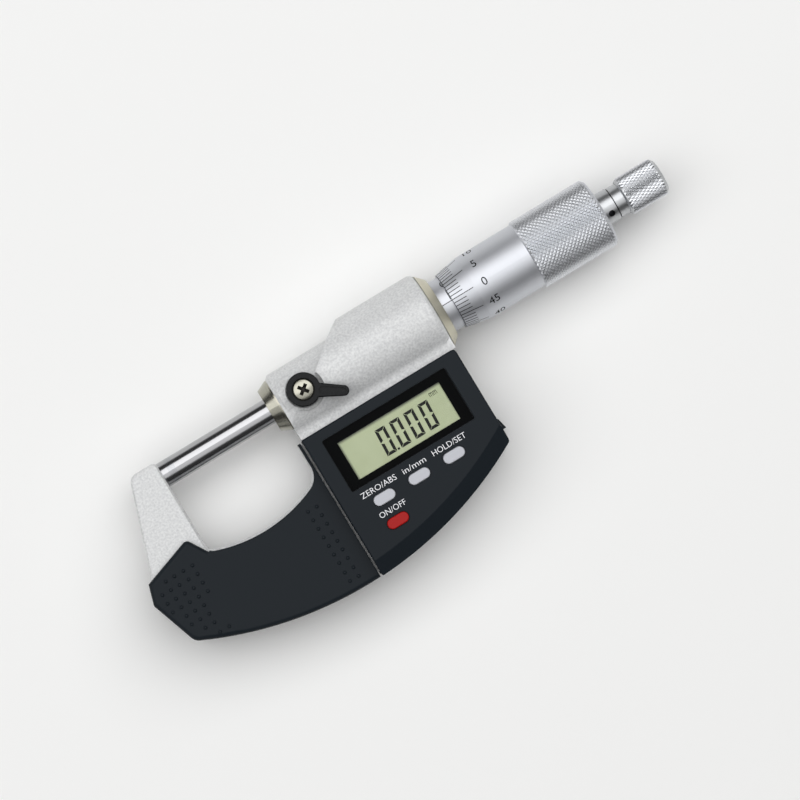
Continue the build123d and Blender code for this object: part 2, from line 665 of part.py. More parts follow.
ROTOR_X = STATOR_X - ENCODER_GAP - DISC_T
with BuildPart() as encoder_rotor:
    revolve(ring_section(ROTOR_X, ROTOR_X + DISC_T, ROTOR_R, ROTOR_HUB_R + SEAT_FIT), axis=SPIN)
encoder_rotor.part.label = "encoder_rotor"
export_step(encoder_rotor.part, "parts/encoder_rotor.step")

# Rotor bush: carries the turning disc; its key runs in the spindle's keyway
with BuildPart() as rotor_bush:
    revolve(
        half_section(
            (BARREL_FLOOR + SPRING_SPACE, BORE_R),
            (BARREL_FLOOR + SPRING_SPACE, ROTOR_BUSH_R),
            (ROTOR_X, ROTOR_BUSH_R),
            (ROTOR_X, ROTOR_HUB_R),
            (ROTOR_X + DISC_T, ROTOR_HUB_R),
            (ROTOR_X + DISC_T, BORE_R),
        ),
        axis=SPIN,
    )
    key_length = ROTOR_X + DISC_T - BARREL_FLOOR - SPRING_SPACE
    key_foot = Location((0, SPINDLE_R - KEYWAY_DEPTH + 2 * RUN_FIT, 0))
    with Locations(across(BARREL_FLOOR + SPRING_SPACE) * key_foot):
        Box(KEYWAY_WIDTH - 2 * RUN_FIT, KEYWAY_DEPTH, key_length, align=UPWARD)
rotor_bush.part.label = "rotor_bush"
export_step(rotor_bush.part, "parts/rotor_bush.step")

# Wave spring behind the rotor bush: a thin dished ring
with BuildPart() as wave_spring:
    revolve(
        half_section(
            (BARREL_FLOOR + SEAT_FIT, ROTOR_BUSH_R),
            (BARREL_FLOOR + SPRING_SPACE - WASHER_T, BORE_R + AIR),
            (BARREL_FLOOR + SPRING_SPACE, BORE_R + AIR),
            (BARREL_FLOOR + SEAT_FIT + WASHER_T, ROTOR_BUSH_R),
        ),
        axis=SPIN,
    )
wave_spring.part.label = "wave_spring"
export_step(wave_spring.part, "parts/wave_spring.step")

# Spindle: journal with keyway, thread, and a taper that carries the thimble
with BuildPart() as spindle:
    revolve(
        half_section(
            (FACE_GAP + TIP_LENGTH, 0),
            (FACE_GAP + TIP_LENGTH, SPINDLE_R),
            (THREAD_START, SPINDLE_R),
            (THREAD_START, THREAD_R),
            (THREAD_END, THREAD_R),
            (THREAD_END, TAPER_R),
            (TAPER_START, TAPER_R),
            (TAPER_END, TAPER_END_R),
            (TAPER_END, 0),
        ),
        axis=SPIN,
    )
    revolve(ring_section(STUD_START, TAPER_END, STUD_R + SEAT_FIT), axis=SPIN, mode=Mode.SUBTRACT)
    with Locations(across(KEYWAY_START) * Location((0, SPINDLE_R - KEYWAY_DEPTH, 0))):
        Box(KEYWAY_WIDTH, SPINDLE_R, KEYWAY_END - KEYWAY_START, align=UPWARD, mode=Mode.SUBTRACT)
spindle.part.label = "spindle"
export_step(spindle.part, "parts/spindle.step")

with BuildPart() as spindle_tip:
    revolve(ring_section(FACE_GAP, FACE_GAP + TIP_LENGTH, SPINDLE_R), axis=SPIN)
spindle_tip.part.label = "spindle_tip"
export_step(spindle_tip.part, "parts/spindle_tip.step")

# Thimble: bevelled edge, plain barrel, raised grip band and a tapered hub inside
with BuildPart() as thimble:
    revolve(
        half_section(
            (THIMBLE_EDGE, SLEEVE_R + THIMBLE_FIT),
            (THIMBLE_EDGE, THIMBLE_EDGE_R),
            (BEVEL_END, THIMBLE_R),
            (GRIP_START, THIMBLE_R),
            (GRIP_START + GRIP_STEP, THIMBLE_GRIP_R),
            (THIMBLE_END - 2 * GRIP_STEP, THIMBLE_GRIP_R),
            (THIMBLE_END, THIMBLE_GRIP_R - 2 * GRIP_STEP),
            (THIMBLE_END, STUD_R + AIR),
            (TAPER_END + SEAT_FIT, STUD_R + AIR),
            (TAPER_END + SEAT_FIT, TAPER_END_R + SEAT_FIT),
            (TAPER_START, TAPER_R + SEAT_FIT),
            (HUB_START, TAPER_R + SEAT_FIT),
            (HUB_START, SLEEVE_R + THIMBLE_FIT),
        ),
        axis=SPIN,
    )
thimble.part.label = "thimble"
export_step(thimble.part, "parts/thimble.step")

# Ratchet base: collar with spanner hole, stud into the spindle, face teeth and the knob's post
with BuildPart() as ratchet_base:
    revolve(
        half_section(
            (STUD_START + EDGE, 0),
            (STUD_START + EDGE, STUD_R),
            (THIMBLE_END, STUD_R),
            (THIMBLE_END, COLLAR_R - EDGE),
            (THIMBLE_END + EDGE, COLLAR_R),
            (COLLAR_END, COLLAR_R),
            (COLLAR_END, TOOTH_OUT_R),
            (TOOTH_START, TOOTH_OUT_R),
            (TOOTH_START, POST_R),
            (POST_END, POST_R),
            (POST_END, 0),
        ),
        axis=SPIN,
    )
    for k in range(TOOTH_COUNT):
        low = k * PITCH_ANGLE
        high = low + PITCH_ANGLE
        add(face_tooth((TOOTH_START, low), (TOOTH_START, high), (TOOTH_START + TOOTH_HEIGHT, high)))
    revolve(ring_section(POST_END - SCREW_SHANK, POST_END, SHANK_R + SEAT_FIT), axis=SPIN, mode=Mode.SUBTRACT)
    with Locations(Plane(turned_point(COLLAR_HOLE_X, COLLAR_R, COLLAR_HOLE_ANGLE), z_dir=COLLAR_HOLE_OUT)):
        Cylinder(COLLAR_HOLE_R, 2 * COLLAR_HOLE_DEPTH, mode=Mode.SUBTRACT)
ratchet_base.part.label = "ratchet_base"
export_step(ratchet_base.part, "parts/ratchet_base.step")

# Ratchet ring: toothed ring that the spring presses against the base; its lugs ride in the knob
with BuildPart() as ratchet_ring:
    revolve(ring_section(RING_TEETH_END, RING_END, KNOB_BORE_R - RUN_FIT, POST_R + RUN_FIT), axis=SPIN)
    for k in range(TOOTH_COUNT):
        low = k * PITCH_ANGLE + TOOTH_BACKLASH
        high = low + PITCH_ANGLE
        add(face_tooth((TOOTH_START + TOOTH_GAP, low), (RING_TEETH_END, low), (RING_TEETH_END, high)))
    with Locations(across(RING_TEETH_END)):
        with PolarLocations(KNOB_BORE_R, LUG_COUNT):
            Box(2 * LUG_HEIGHT, LUG_WIDTH, RING_END - RING_TEETH_END, align=BASE)
    revolve(ring_section(TOOTH_START, RING_END, POST_R + RUN_FIT), axis=SPIN, mode=Mode.SUBTRACT)
ratchet_ring.part.label = "ratchet_ring"
export_step(ratchet_ring.part, "parts/ratchet_ring.step")

# Ratchet knob: neck and grip outside, slots for the ring's lugs and a recess for the screw inside
with BuildPart() as ratchet_knob:
    revolve(
        half_section(
            (KNOB_START, KNOB_BORE_R),
            (KNOB_START, KNOB_NECK_R),
            (KNOB_STEP, KNOB_NECK_R),
            (KNOB_STEP, KNOB_R - EDGE),
            (KNOB_STEP + EDGE, KNOB_R),
            (KNOB_END - 2 * EDGE, KNOB_R),
            (KNOB_END, KNOB_R - 2 * EDGE),
            (KNOB_END, KNOB_RECESS_R),
            (KNOB_FLOOR + KNOB_WEB, KNOB_RECESS_R),
            (KNOB_FLOOR + KNOB_WEB, POST_R + RUN_FIT),
            (KNOB_FLOOR, POST_R + RUN_FIT),
            (KNOB_FLOOR, KNOB_BORE_R),
        ),
        axis=SPIN,
    )
    with Locations(across(KNOB_START)):
        with PolarLocations(KNOB_BORE_R, LUG_COUNT):
            Box(
                2 * (LUG_HEIGHT + RUN_FIT),
                LUG_WIDTH + 2 * RUN_FIT,
                RING_END + AIR - KNOB_START,
                align=BASE,
                mode=Mode.SUBTRACT,
            )
ratchet_knob.part.label = "ratchet_knob"
export_step(ratchet_knob.part, "parts/ratchet_knob.step")

# Ratchet spring: a coil round the post between ring and knob
with BuildPart() as ratchet_spring:
    with BuildLine() as coil:
        coil_height = KNOB_FLOOR - RING_END - 2 * (WIRE_R + SEAT_FIT)
        coil_start = across(RING_END + WIRE_R + SEAT_FIT).origin
        Helix(SPRING_PITCH, coil_height, SPRING_R, center=coil_start, direction=(1, 0, 0))
    with BuildSketch(Plane(coil.line @ 0, z_dir=coil.line % 0)):
        Circle(WIRE_R)
    sweep(path=coil.line, is_frenet=True)
ratchet_spring.part.label = "ratchet_spring"
export_step(ratchet_spring.part, "parts/ratchet_spring.step")

# Ratchet screw: holds the knob on the post
with BuildPart() as ratchet_screw:
    revolve(ring_section(POST_END - SCREW_SHANK + EDGE, KNOB_FLOOR + KNOB_WEB + RUN_FIT, SHANK_R), axis=SPIN)
    revolve(
        half_section(
            (KNOB_FLOOR + KNOB_WEB + RUN_FIT, 0),
            (KNOB_FLOOR + KNOB_WEB + RUN_FIT, RATCHET_HEAD_R),
            (KNOB_FLOOR + KNOB_WEB + RATCHET_HEAD_T, RATCHET_HEAD_R),
            (KNOB_FLOOR + KNOB_WEB + RATCHET_HEAD_T + EDGE, RATCHET_HEAD_R - EDGE),
            (KNOB_FLOOR + KNOB_WEB + RATCHET_HEAD_T + EDGE, 0),
        ),
        axis=SPIN,
    )
    with Locations(across(KNOB_FLOOR + KNOB_WEB + RATCHET_HEAD_T + EDGE)):
        Box(3 * RATCHET_HEAD_R, SLIT_WIDTH, RATCHET_HEAD_T, mode=Mode.SUBTRACT)
ratchet_screw.part.label = "ratchet_screw"
export_step(ratchet_screw.part, "parts/ratchet_screw.step")

# Lock pad, shaft, lever and screw, stacked over the spindle
LEVER_AXIS = Location((LEVER_X, 0, 0))
LEVER_LINE = LEVER_AXIS * Location((0, 0, 0), (0, 0, LEVER_ANGLE))
with BuildPart(FRONT.offset(SPINDLE_R + RUN_FIT) * LEVER_AXIS) as lock_pad:
    Cylinder(SHAFT_R, PAD_T, align=BASE)
lock_pad.part.label = "lock_pad"
export_step(lock_pad.part, "parts/lock_pad.step")

SHAFT_BOTTOM = SPINDLE_R + PAD_T + 2 * RUN_FIT
with BuildPart(FRONT.offset(SHAFT_BOTTOM) * LEVER_AXIS) as lock_shaft:
    Cylinder(SHAFT_R, SHAFT_TOP - SHAFT_BOTTOM, align=BASE)
    with Locations((0, 0, SHAFT_TOP - SHAFT_BOTTOM)):
        Hole(SHANK_R + SEAT_FIT, depth=LOCK_SHANK)
lock_shaft.part.label = "lock_shaft"
export_step(lock_shaft.part, "parts/lock_shaft.step")

with BuildPart() as lock_lever:
    with BuildSketch(FRONT.offset(LEVER_SEAT + RUN_FIT) * LEVER_AXIS):
        Circle(LEVER_R)
    extrude(amount=LEVER_TOP - LEVER_SEAT - RUN_FIT)
    with BuildSketch(FRONT.offset(LEVER_TOP - LEVER_ARM_T) * LEVER_LINE):
        with Locations((LEVER_R / 2, 0)):
            Circle(LEVER_ROOT_W / 2)
        with Locations((LEVER_REACH - LEVER_TIP_W / 2, 0)):
            Circle(LEVER_TIP_W / 2)
        make_hull()
    extrude(amount=LEVER_ARM_T)
    fillet(lock_lever.edges().group_by(Axis.Z)[-1], LEVER_EDGE_R)
    with BuildSketch(FRONT.offset(LEVER_TOP) * LEVER_LINE):
        with Locations((LEVER_R + LEVER_RIM, 0)):
            Circle((LEVER_ROOT_W + LEVER_TIP_W) / 4 - LEVER_RIM)
        with Locations((LEVER_REACH - LEVER_TIP_W / 2, 0)):
            Circle(LEVER_TIP_W / 2 - LEVER_RIM)
        make_hull()
    extrude(amount=-LEVER_POCKET, mode=Mode.SUBTRACT)
    with Locations(FRONT.offset(LEVER_TOP) * LEVER_AXIS):
        CounterBoreHole(SHANK_R + SEAT_FIT, LOCK_SCREW_HEAD_R + AIR / 2, LOCK_HEAD_SUNK, depth=LEVER_TOP)
    with Locations(FRONT.offset(LEVER_SEAT) * LEVER_AXIS):
        Cylinder(SHAFT_R + SEAT_FIT, SHAFT_TOP - LEVER_SEAT, align=BASE, mode=Mode.SUBTRACT)
lock_lever.part.label = "lock_lever"
export_step(lock_lever.part, "parts/lock_lever.step")

HEAD_SEAT = LEVER_TOP - LOCK_HEAD_SUNK
CROWN_R = (LOCK_SCREW_HEAD_R**2 + LOCK_HEAD_CROWN**2) / (2 * LOCK_HEAD_CROWN)
with BuildPart(FRONT.offset(HEAD_SEAT) * LEVER_AXIS) as lock_screw:
    Cylinder(LOCK_SCREW_HEAD_R, LOCK_HEAD_T, align=BASE)
    with Locations((0, 0, LOCK_HEAD_T - CROWN_R)):
        Sphere(CROWN_R, mode=Mode.INTERSECT)
    Cylinder(SHANK_R, LOCK_SHANK - EDGE, align=ROOF)
lock_screw.part.label = "lock_screw"
export_step(lock_screw.part, "parts/lock_screw.step")

# Display housing: moulded shell with a sloping lower band, lens recess, window and button holes
BUTTON_PLACES = {
    "zero_button": (MIDDLE_BUTTON_X - BUTTON_PITCH, BUTTON_ROW_Y),
    "unit_button": (MIDDLE_BUTTON_X, BUTTON_ROW_Y),
    "hold_button": (MIDDLE_BUTTON_X + BUTTON_PITCH, BUTTON_ROW_Y),
    "power_button": (POWER_X, POWER_Y),
}
BELLY_MIDDLE = FRONT.from_local_coords(Vector(BELLY_X, BELLY_CENTRE_Y, 0))
with BuildPart() as display_housing:
    with BuildSketch(FRONT.offset(ARM_HALF)):
        add(housing_outline())
    extrude(amount=HOUSING_FRONT - ARM_HALF)
    # Sloping band along the belly
    with BuildSketch(Plane(BELLY_MIDDLE, x_dir=(1, 0, 0), z_dir=(0, -1, 0))):
        with BuildLine():
            Polyline(
                (BELLY_R - BAND_WIDTH, HOUSING_FRONT),
                (BELLY_R + BAND_WIDTH, HOUSING_FRONT),
                (BELLY_R + BAND_WIDTH, HOUSING_FRONT - 2 * BAND_DROP),
                close=True,
            )
        make_face()
    revolve(axis=Axis(BELLY_MIDDLE, (0, 0, 1)), mode=Mode.SUBTRACT)
    front_rim = display_housing.edges().group_by(Axis.Z)[-1].filter_by(GeomType.LINE)
    fillet(front_rim, HOUSING_EDGE_R)
    # Hollow behind the front wall, with a boss for each screw
    with BuildSketch(FRONT.offset(ARM_HALF)):
        add(housing_outline(HOUSING_WALL))
        with Locations(*COVER_SCREWS):
            Circle(HOUSING_BOSS_R, mode=Mode.SUBTRACT)
        with Locations((BELLY_X, BELLY_CENTRE_Y)):
            Circle(BELLY_R - BAND_WIDTH / 2, mode=Mode.INTERSECT)
    extrude(amount=HOUSING_INNER - ARM_HALF, mode=Mode.SUBTRACT)
    with Locations(*spots(COVER_SCREWS, ARM_HALF)):
        Cylinder(SCREW_R + SEAT_FIT, SCREW_BITE, align=BASE, mode=Mode.SUBTRACT)
    # Recess for the lens, window behind it, button holes
    with BuildSketch(FRONT.offset(HOUSING_FRONT)):
        with Locations((LENS_X, LENS_Y)):
            RectangleRounded(LENS_WIDTH, LENS_HEIGHT, LENS_CORNER)
    extrude(amount=-LENS_SUNK - LENS_T, mode=Mode.SUBTRACT)
    with BuildSketch(FRONT.offset(HOUSING_FRONT)):
        with Locations((LENS_X, LENS_Y)):
            Rectangle(WINDOW_WIDTH, WINDOW_HEIGHT)
        with Locations(*BUTTON_PLACES.values()):
            add(stadium(BUTTON_FIT))
    extrude(amount=-HOUSING_FRONT + ARM_HALF, mode=Mode.SUBTRACT)
display_housing.part.label = "display_housing"
export_step(display_housing.part, "parts/display_housing.step")

# Lens: clear cover over the LCD, a little below the front face
with BuildPart() as display_lens:
    with BuildSketch(FRONT.offset(HOUSING_FRONT - LENS_SUNK)):
        with Locations((LENS_X, LENS_Y)):
            RectangleRounded(LENS_WIDTH - 2 * RUN_FIT, LENS_HEIGHT - 2 * RUN_FIT, LENS_CORNER)
    extrude(amount=-LENS_T + SEAT_FIT)
display_lens.part.label = "display_lens"
export_step(display_lens.part, "parts/display_lens.step")

# LCD panel on its holder, with two rubber contact strips standing on the board
BOARD_BOTTOM = ARM_HALF - POCKET_DEPTH
BOARD_TOP = BOARD_BOTTOM + BOARD_T
LCD_BOTTOM = HOUSING_INNER - SEAT_FIT - LCD_T
with BuildPart(FRONT.offset(LCD_BOTTOM) * Location((LENS_X, LENS_Y, 0))) as lcd_panel:
    Box(LCD_WIDTH, LCD_HEIGHT, LCD_T, align=BASE)
lcd_panel.part.label = "lcd_panel"
export_step(lcd_panel.part, "parts/lcd_panel.step")

with BuildPart(FRONT.offset(BOARD_TOP) * Location((LENS_X, LENS_Y, 0))) as lcd_holder:
    Box(LCD_WIDTH + 2 * RUN_FIT, LCD_HEIGHT + 2 * RUN_FIT, LCD_BOTTOM - BOARD_TOP, align=BASE)
    inner_width = LCD_WIDTH - 2 * HOLDER_WALL
    inner_height = LCD_HEIGHT - 2 * HOLDER_WALL
    Box(inner_width, inner_height, LCD_BOTTOM - BOARD_TOP, align=BASE, mode=Mode.SUBTRACT)
lcd_holder.part.label = "lcd_holder"
export_step(lcd_holder.part, "parts/lcd_holder.step")

with BuildPart(FRONT.offset(BOARD_TOP) * Location((LENS_X, LENS_Y, 0))) as contact_strips:
    with GridLocations(1, inner_height - STRIP_WIDTH - 2 * RUN_FIT, 1, 2):
        Box(inner_width - 2 * AIR, STRIP_WIDTH, LCD_BOTTOM - BOARD_TOP, align=BASE)
contact_strips.part.label = "contact_strips"
export_step(contact_strips.part, "parts/contact_strips.step")

# Circuit board in the casting's pocket, with its chip
with BuildPart() as circuit_board:
    with BuildSketch(FRONT.offset(BOARD_BOTTOM)):
        with BuildLine():
            Polyline(*BOARD_CORNERS, close=True)
        make_face()
    extrude(amount=BOARD_T)
    with Locations(FRONT.offset(BOARD_TOP) * Location((LENS_X, LENS_Y, 0))):
        Box(CHIP_SIZE, CHIP_SIZE, CHIP_T, align=BASE)
circuit_board.part.label = "circuit_board"
export_step(circuit_board.part, "parts/circuit_board.step")

# Ribbon from the fixed encoder disc through the web to the board
ribbon_end = -sqrt(BARREL_BORE_R**2 - RIBBON_Z**2)
with BuildPart() as encoder_ribbon:
    with BuildSketch(FRONT.offset(RIBBON_Z)):
        with Locations((RIBBON_X, BOARD_TOP_Y - RIBBON_LAP)):
            Rectangle(RIBBON_WIDTH, ribbon_end - BOARD_TOP_Y + RIBBON_LAP, align=(Align.CENTER, Align.MIN))
    extrude(amount=RIBBON_T)
encoder_ribbon.part.label = "encoder_ribbon"
export_step(encoder_ribbon.part, "parts/encoder_ribbon.step")

# Key mat: rubber sheet with a dome under each button
with BuildPart() as key_mat:
    mat_width = BUTTON_WIDTH + 2 * MAT_MARGIN
    mat_height = BUTTON_HEIGHT + 2 * MAT_MARGIN
    with BuildSketch(FRONT.offset(BOARD_TOP)):
        with Locations((MIDDLE_BUTTON_X, BUTTON_ROW_Y)):
            Rectangle(2 * BUTTON_PITCH + mat_width, mat_height)
        with Locations((POWER_X, POWER_Y)):
            Rectangle(mat_width, mat_height)
        with Locations((POWER_X, (POWER_Y + BUTTON_ROW_Y) / 2)):
            Rectangle(BUTTON_HEIGHT, BUTTON_ROW_Y - POWER_Y)
    extrude(amount=MAT_T)
    with Locations(*spots(BUTTON_PLACES.values(), BOARD_TOP + MAT_T)):
        Cone(DOME_R, STEM_R, DOME_T, align=BASE)
key_mat.part.label = "key_mat"
export_step(key_mat.part, "parts/key_mat.step")

# Push buttons: cap through the front wall, flange behind it and a stem towards its dome
STEM_BOTTOM = BOARD_TOP + MAT_T + DOME_T + BUTTON_TRAVEL + RUN_FIT
for button_name, (button_x, button_y) in BUTTON_PLACES.items():
    place = Location((button_x, button_y, 0))
    with BuildPart() as button:
        with BuildSketch(FRONT.offset(HOUSING_INNER - SEAT_FIT - BUTTON_FLANGE_T) * place):
            add(stadium(BUTTON_FLANGE))
        extrude(amount=BUTTON_FLANGE_T)
        with BuildSketch(FRONT.offset(HOUSING_INNER - SEAT_FIT) * place):
            add(stadium())
        extrude(amount=HOUSING_FRONT + BUTTON_PROUD - HOUSING_INNER + SEAT_FIT)
        fillet(button.edges().group_by(Axis.Z)[-1], BUTTON_EDGE_R)
        with BuildSketch(FRONT.offset(STEM_BOTTOM) * place):
            Circle(STEM_R)
        extrude(amount=HOUSING_INNER - BUTTON_FLANGE_T - STEM_BOTTOM)
    button.part.label = button_name
    export_step(button.part, f"parts/{button_name}.step")

# Front grip cover: plate with a skirt round the casting's edge and a boss for each screw
with BuildPart() as front_grip:
    with BuildSketch(FRONT.offset(ARM_HALF)):
        add(grip_outline())
    extrude(amount=GRIP_T)
    fillet(grip_rim(front_grip.edges().group_by(Axis.Z)[-1]), GRIP_EDGE_R)
    fillet(arch_edge(front_grip.edges().group_by(Axis.Z)[-1]), GRIP_ARCH_EDGE)
    with BuildSketch(FRONT.offset(GRIP_PARTING)):
        add(grip_outline())
        add(casting_outline(RUN_FIT), mode=Mode.SUBTRACT)
    extrude(amount=ARM_HALF - GRIP_PARTING)
    with Locations(*spots(GRIP_SCREWS, ARM_HALF)):
        Cylinder(BOSS_R, ARM_HALF, align=ROOF)
    with Locations(*spots(GRIP_SCREWS, 0)):
        Cylinder(SCREW_R + SEAT_FIT, ARM_HALF, align=BASE, mode=Mode.SUBTRACT)
front_grip.part.label = "front_grip"
export_step(front_grip.part, "parts/front_grip.step")

# Rear grip cover: the same form mirrored, with countersunk screw holes
with BuildPart() as rear_grip:
    with BuildSketch(FRONT.offset(-ARM_HALF)):
        add(grip_outline())
    extrude(amount=-GRIP_T)
    fillet(grip_rim(rear_grip.edges().group_by(Axis.Z)[0]), GRIP_EDGE_R)
    fillet(arch_edge(rear_grip.edges().group_by(Axis.Z)[0]), GRIP_ARCH_EDGE)
    with BuildSketch(FRONT.offset(-GRIP_PARTING)):
        add(grip_outline())
        add(casting_outline(RUN_FIT), mode=Mode.SUBTRACT)
    extrude(amount=GRIP_PARTING - ARM_HALF)
    rear_of_grip = Plane(FRONT.offset(-ARM_HALF - GRIP_T).origin, x_dir=(1, 0, 0), z_dir=(0, 0, -1))
    with Locations(*(rear_of_grip * Location((x, -y, 0)) for x, y in GRIP_SCREWS)):
        CounterSinkHole(SCREW_HOLE_R, SCREW_HEAD_R + SEAT_FIT, depth=GRIP_T)
rear_grip.part.label = "rear_grip"
export_step(rear_grip.part, "parts/rear_grip.step")

# Rear cover: the flat back that the tool lies on, with screw bosses and the battery's seat
CAP_LEDGE = BACK + CAP_SUNK + CAP_T
BATTERY_PLACE = Location((BATTERY_X, BATTERY_Y, 0))
LUG_LOW = CAP_LEDGE + CAP_PLUG_T - CAP_LUG_T
with BuildPart() as rear_cover:
    with BuildSketch(FRONT.offset(BACK)):
        add(housing_outline())
    extrude(amount=-ARM_HALF - BACK)
    fillet(rear_cover.edges().group_by(Axis.Z)[0].filter_by(GeomType.LINE), COVER_EDGE_R)
    with BuildSketch(FRONT.offset(BACK + COVER_FLOOR)):
        add(housing_outline(HOUSING_WALL))
        with Locations(*COVER_SCREWS):
            Circle(COVER_BOSS_R, mode=Mode.SUBTRACT)
        with Locations((BATTERY_X, BATTERY_Y)):
            Circle(CAP_BOSS_R, mode=Mode.SUBTRACT)
    extrude(amount=-ARM_HALF - BACK - COVER_FLOOR, mode=Mode.SUBTRACT)
    with Locations(FRONT.offset(-ARM_HALF) * BATTERY_PLACE):
        top_gap = -ARM_HALF - BACK - COVER_FLOOR - CAP_BOSS_T
        Cylinder(CAP_BOSS_R, top_gap, align=ROOF, mode=Mode.SUBTRACT)
    # Screw holes with deep seats for the heads
    with Locations(*spots(COVER_SCREWS, BACK)):
        Cylinder(SCREW_HOLE_R, -BACK, align=BASE, mode=Mode.SUBTRACT)
        Cylinder(SCREW_HEAD_R + AIR / 2, COVER_HEAD_SEAT, align=BASE, mode=Mode.SUBTRACT)
    # Battery seat: bore, recess for the cap, groove and entries for its lugs, and a stop for each
    with Locations(FRONT.offset(BACK) * BATTERY_PLACE):
        Cylinder(CAP_PLUG_R + CAP_FIT, -BACK - ARM_HALF, align=BASE, mode=Mode.SUBTRACT)
        Cylinder(CAP_R + RUN_FIT, CAP_SUNK + CAP_T, align=BASE, mode=Mode.SUBTRACT)
    with Locations(FRONT.offset(LUG_LOW - CAP_FIT) * BATTERY_PLACE):
        Cylinder(CAP_LUG_R + CAP_FIT, CAP_LUG_T + 2 * CAP_FIT, align=BASE, mode=Mode.SUBTRACT)
        with PolarLocations(CAP_PLUG_R + CAP_FIT, CAP_LUG_COUNT, start_angle=CAP_STOP_ANGLE):
            Box(2 * CAP_STOP - CAP_FIT, CAP_STOP, CAP_LUG_T + 2 * CAP_FIT, align=TO_RIGHT)
    with BuildSketch(FRONT.offset(CAP_LEDGE) * BATTERY_PLACE):
        with PolarLocations(0, CAP_LUG_COUNT, start_angle=-CAP_TURN):
            add(lug_sector(CAP_LUG_R + CAP_FIT, CAP_SLOT_ANGLE))
    extrude(amount=LUG_LOW - CAP_LEDGE + CAP_LUG_T, mode=Mode.SUBTRACT)
    # Data port through the right wall and the undercut slide of its shutter
    with Locations(FRONT.offset(PORT_Z) * Location((HOUSING_RIGHT, PORT_Y, 0))):
        Box(2 * HOUSING_WALL + AIR, PORT_LENGTH, PORT_HEIGHT, mode=Mode.SUBTRACT)
    with BuildSketch(SLIDE_START.offset(RUN_FIT)):
        add(shutter_section(RUN_FIT))
    extrude(amount=-SHUTTER_LENGTH - SHUTTER_TRAVEL - 2 * RUN_FIT, mode=Mode.SUBTRACT)
rear_cover.part.label = "rear_cover"
export_step(rear_cover.part, "parts/rear_cover.step")

# Battery cap: flange with a coin slot, plug ring with three lugs, and a groove for its seal
with BuildPart(FRONT * BATTERY_PLACE) as battery_cap:
    with Locations((0, 0, BACK + CAP_SUNK)):
        Cylinder(CAP_R, CAP_T - SEAT_FIT, align=BASE)
        Box(*COIN_SLOT, align=BASE, mode=Mode.SUBTRACT)
    with Locations((0, 0, CAP_LEDGE - SEAT_FIT)):
        Cylinder(CAP_PLUG_R, CAP_PLUG_T + SEAT_FIT, align=BASE)
        Cylinder(CAP_PLUG_R - CAP_PLUG_WALL, CAP_PLUG_T + SEAT_FIT, align=BASE, mode=Mode.SUBTRACT)
    with BuildSketch(FRONT.offset(LUG_LOW) * BATTERY_PLACE):
        with PolarLocations(0, CAP_LUG_COUNT):
            add(lug_sector(CAP_LUG_R, CAP_LUG_ANGLE))
        Circle(CAP_PLUG_R - CAP_PLUG_WALL, mode=Mode.SUBTRACT)
    extrude(amount=CAP_LUG_T)
    with BuildSketch(FRONT.offset(CAP_LEDGE - SEAT_FIT) * BATTERY_PLACE):
        Circle(SEAL_PLACE_R + SEAL_R + SEAT_FIT)
        Circle(SEAL_PLACE_R - SEAL_R - SEAT_FIT, mode=Mode.SUBTRACT)
    extrude(amount=-2 * SEAL_R - SEAT_FIT, mode=Mode.SUBTRACT)
battery_cap.part.label = "battery_cap"
export_step(battery_cap.part, "parts/battery_cap.step")

with BuildPart(FRONT.offset(CAP_LEDGE - SEAT_FIT - SEAL_R) * BATTERY_PLACE) as battery_seal:
    Torus(SEAL_PLACE_R, SEAL_R)
battery_seal.part.label = "battery_seal"
export_step(battery_seal.part, "parts/battery_seal.step")

# Coin cell resting on the cap, and its two sheet contacts, which run through the casting's slot
BATTERY_TOP = CAP_LEDGE + BATTERY_T
with BuildPart(FRONT.offset(CAP_LEDGE) * BATTERY_PLACE) as coin_battery:
    Cylinder(BATTERY_R, BATTERY_T, align=BASE)
    chamfer(coin_battery.edges().group_by(Axis.Z)[-1], EDGE)
coin_battery.part.label = "coin_battery"
export_step(coin_battery.part, "parts/coin_battery.step")

SHEET = CONTACT_T / 2
with BuildPart() as centre_contact:
    with BuildSketch(SECTION.offset(-BATTERY_Y - CONTACT_OUT)):
        with BuildLine():
            Polyline(
                (BATTERY_X - BATTERY_R / 2, BATTERY_TOP + SHEET + SEAT_FIT),
                (BATTERY_X - BATTERY_R / 4, BATTERY_TOP + SHEET + SEAT_FIT),
                (BATTERY_X - LEAD_SLOT_WIDTH / 3, -ARM_HALF - CONTACT_T),
                (BATTERY_X - LEAD_SLOT_WIDTH / 3, BOARD_BOTTOM - SEAT_FIT),
            )
        trace(line_width=CONTACT_T)
    extrude(amount=CONTACT_WIDTH / 2, both=True)
centre_contact.part.label = "centre_contact"
export_step(centre_contact.part, "parts/centre_contact.step")

with BuildPart() as side_contact:
    with BuildSketch(SECTION.offset(-BATTERY_Y + CONTACT_OUT)):
        with BuildLine():
            Polyline(
                (BATTERY_X + BATTERY_R + 2 * SHEET, CAP_LEDGE + CAP_PLUG_T + CONTACT_T),
                (BATTERY_X + BATTERY_R + 2 * SHEET, -ARM_HALF - CONTACT_T),
                (BATTERY_X + LEAD_SLOT_WIDTH / 3, -ARM_HALF - CONTACT_T),
                (BATTERY_X + LEAD_SLOT_WIDTH / 3, BOARD_BOTTOM - SEAT_FIT),
            )
        trace(line_width=CONTACT_T)
    extrude(amount=CONTACT_WIDTH / 2, both=True)
side_contact.part.label = "side_contact"
export_step(side_contact.part, "parts/side_contact.step")

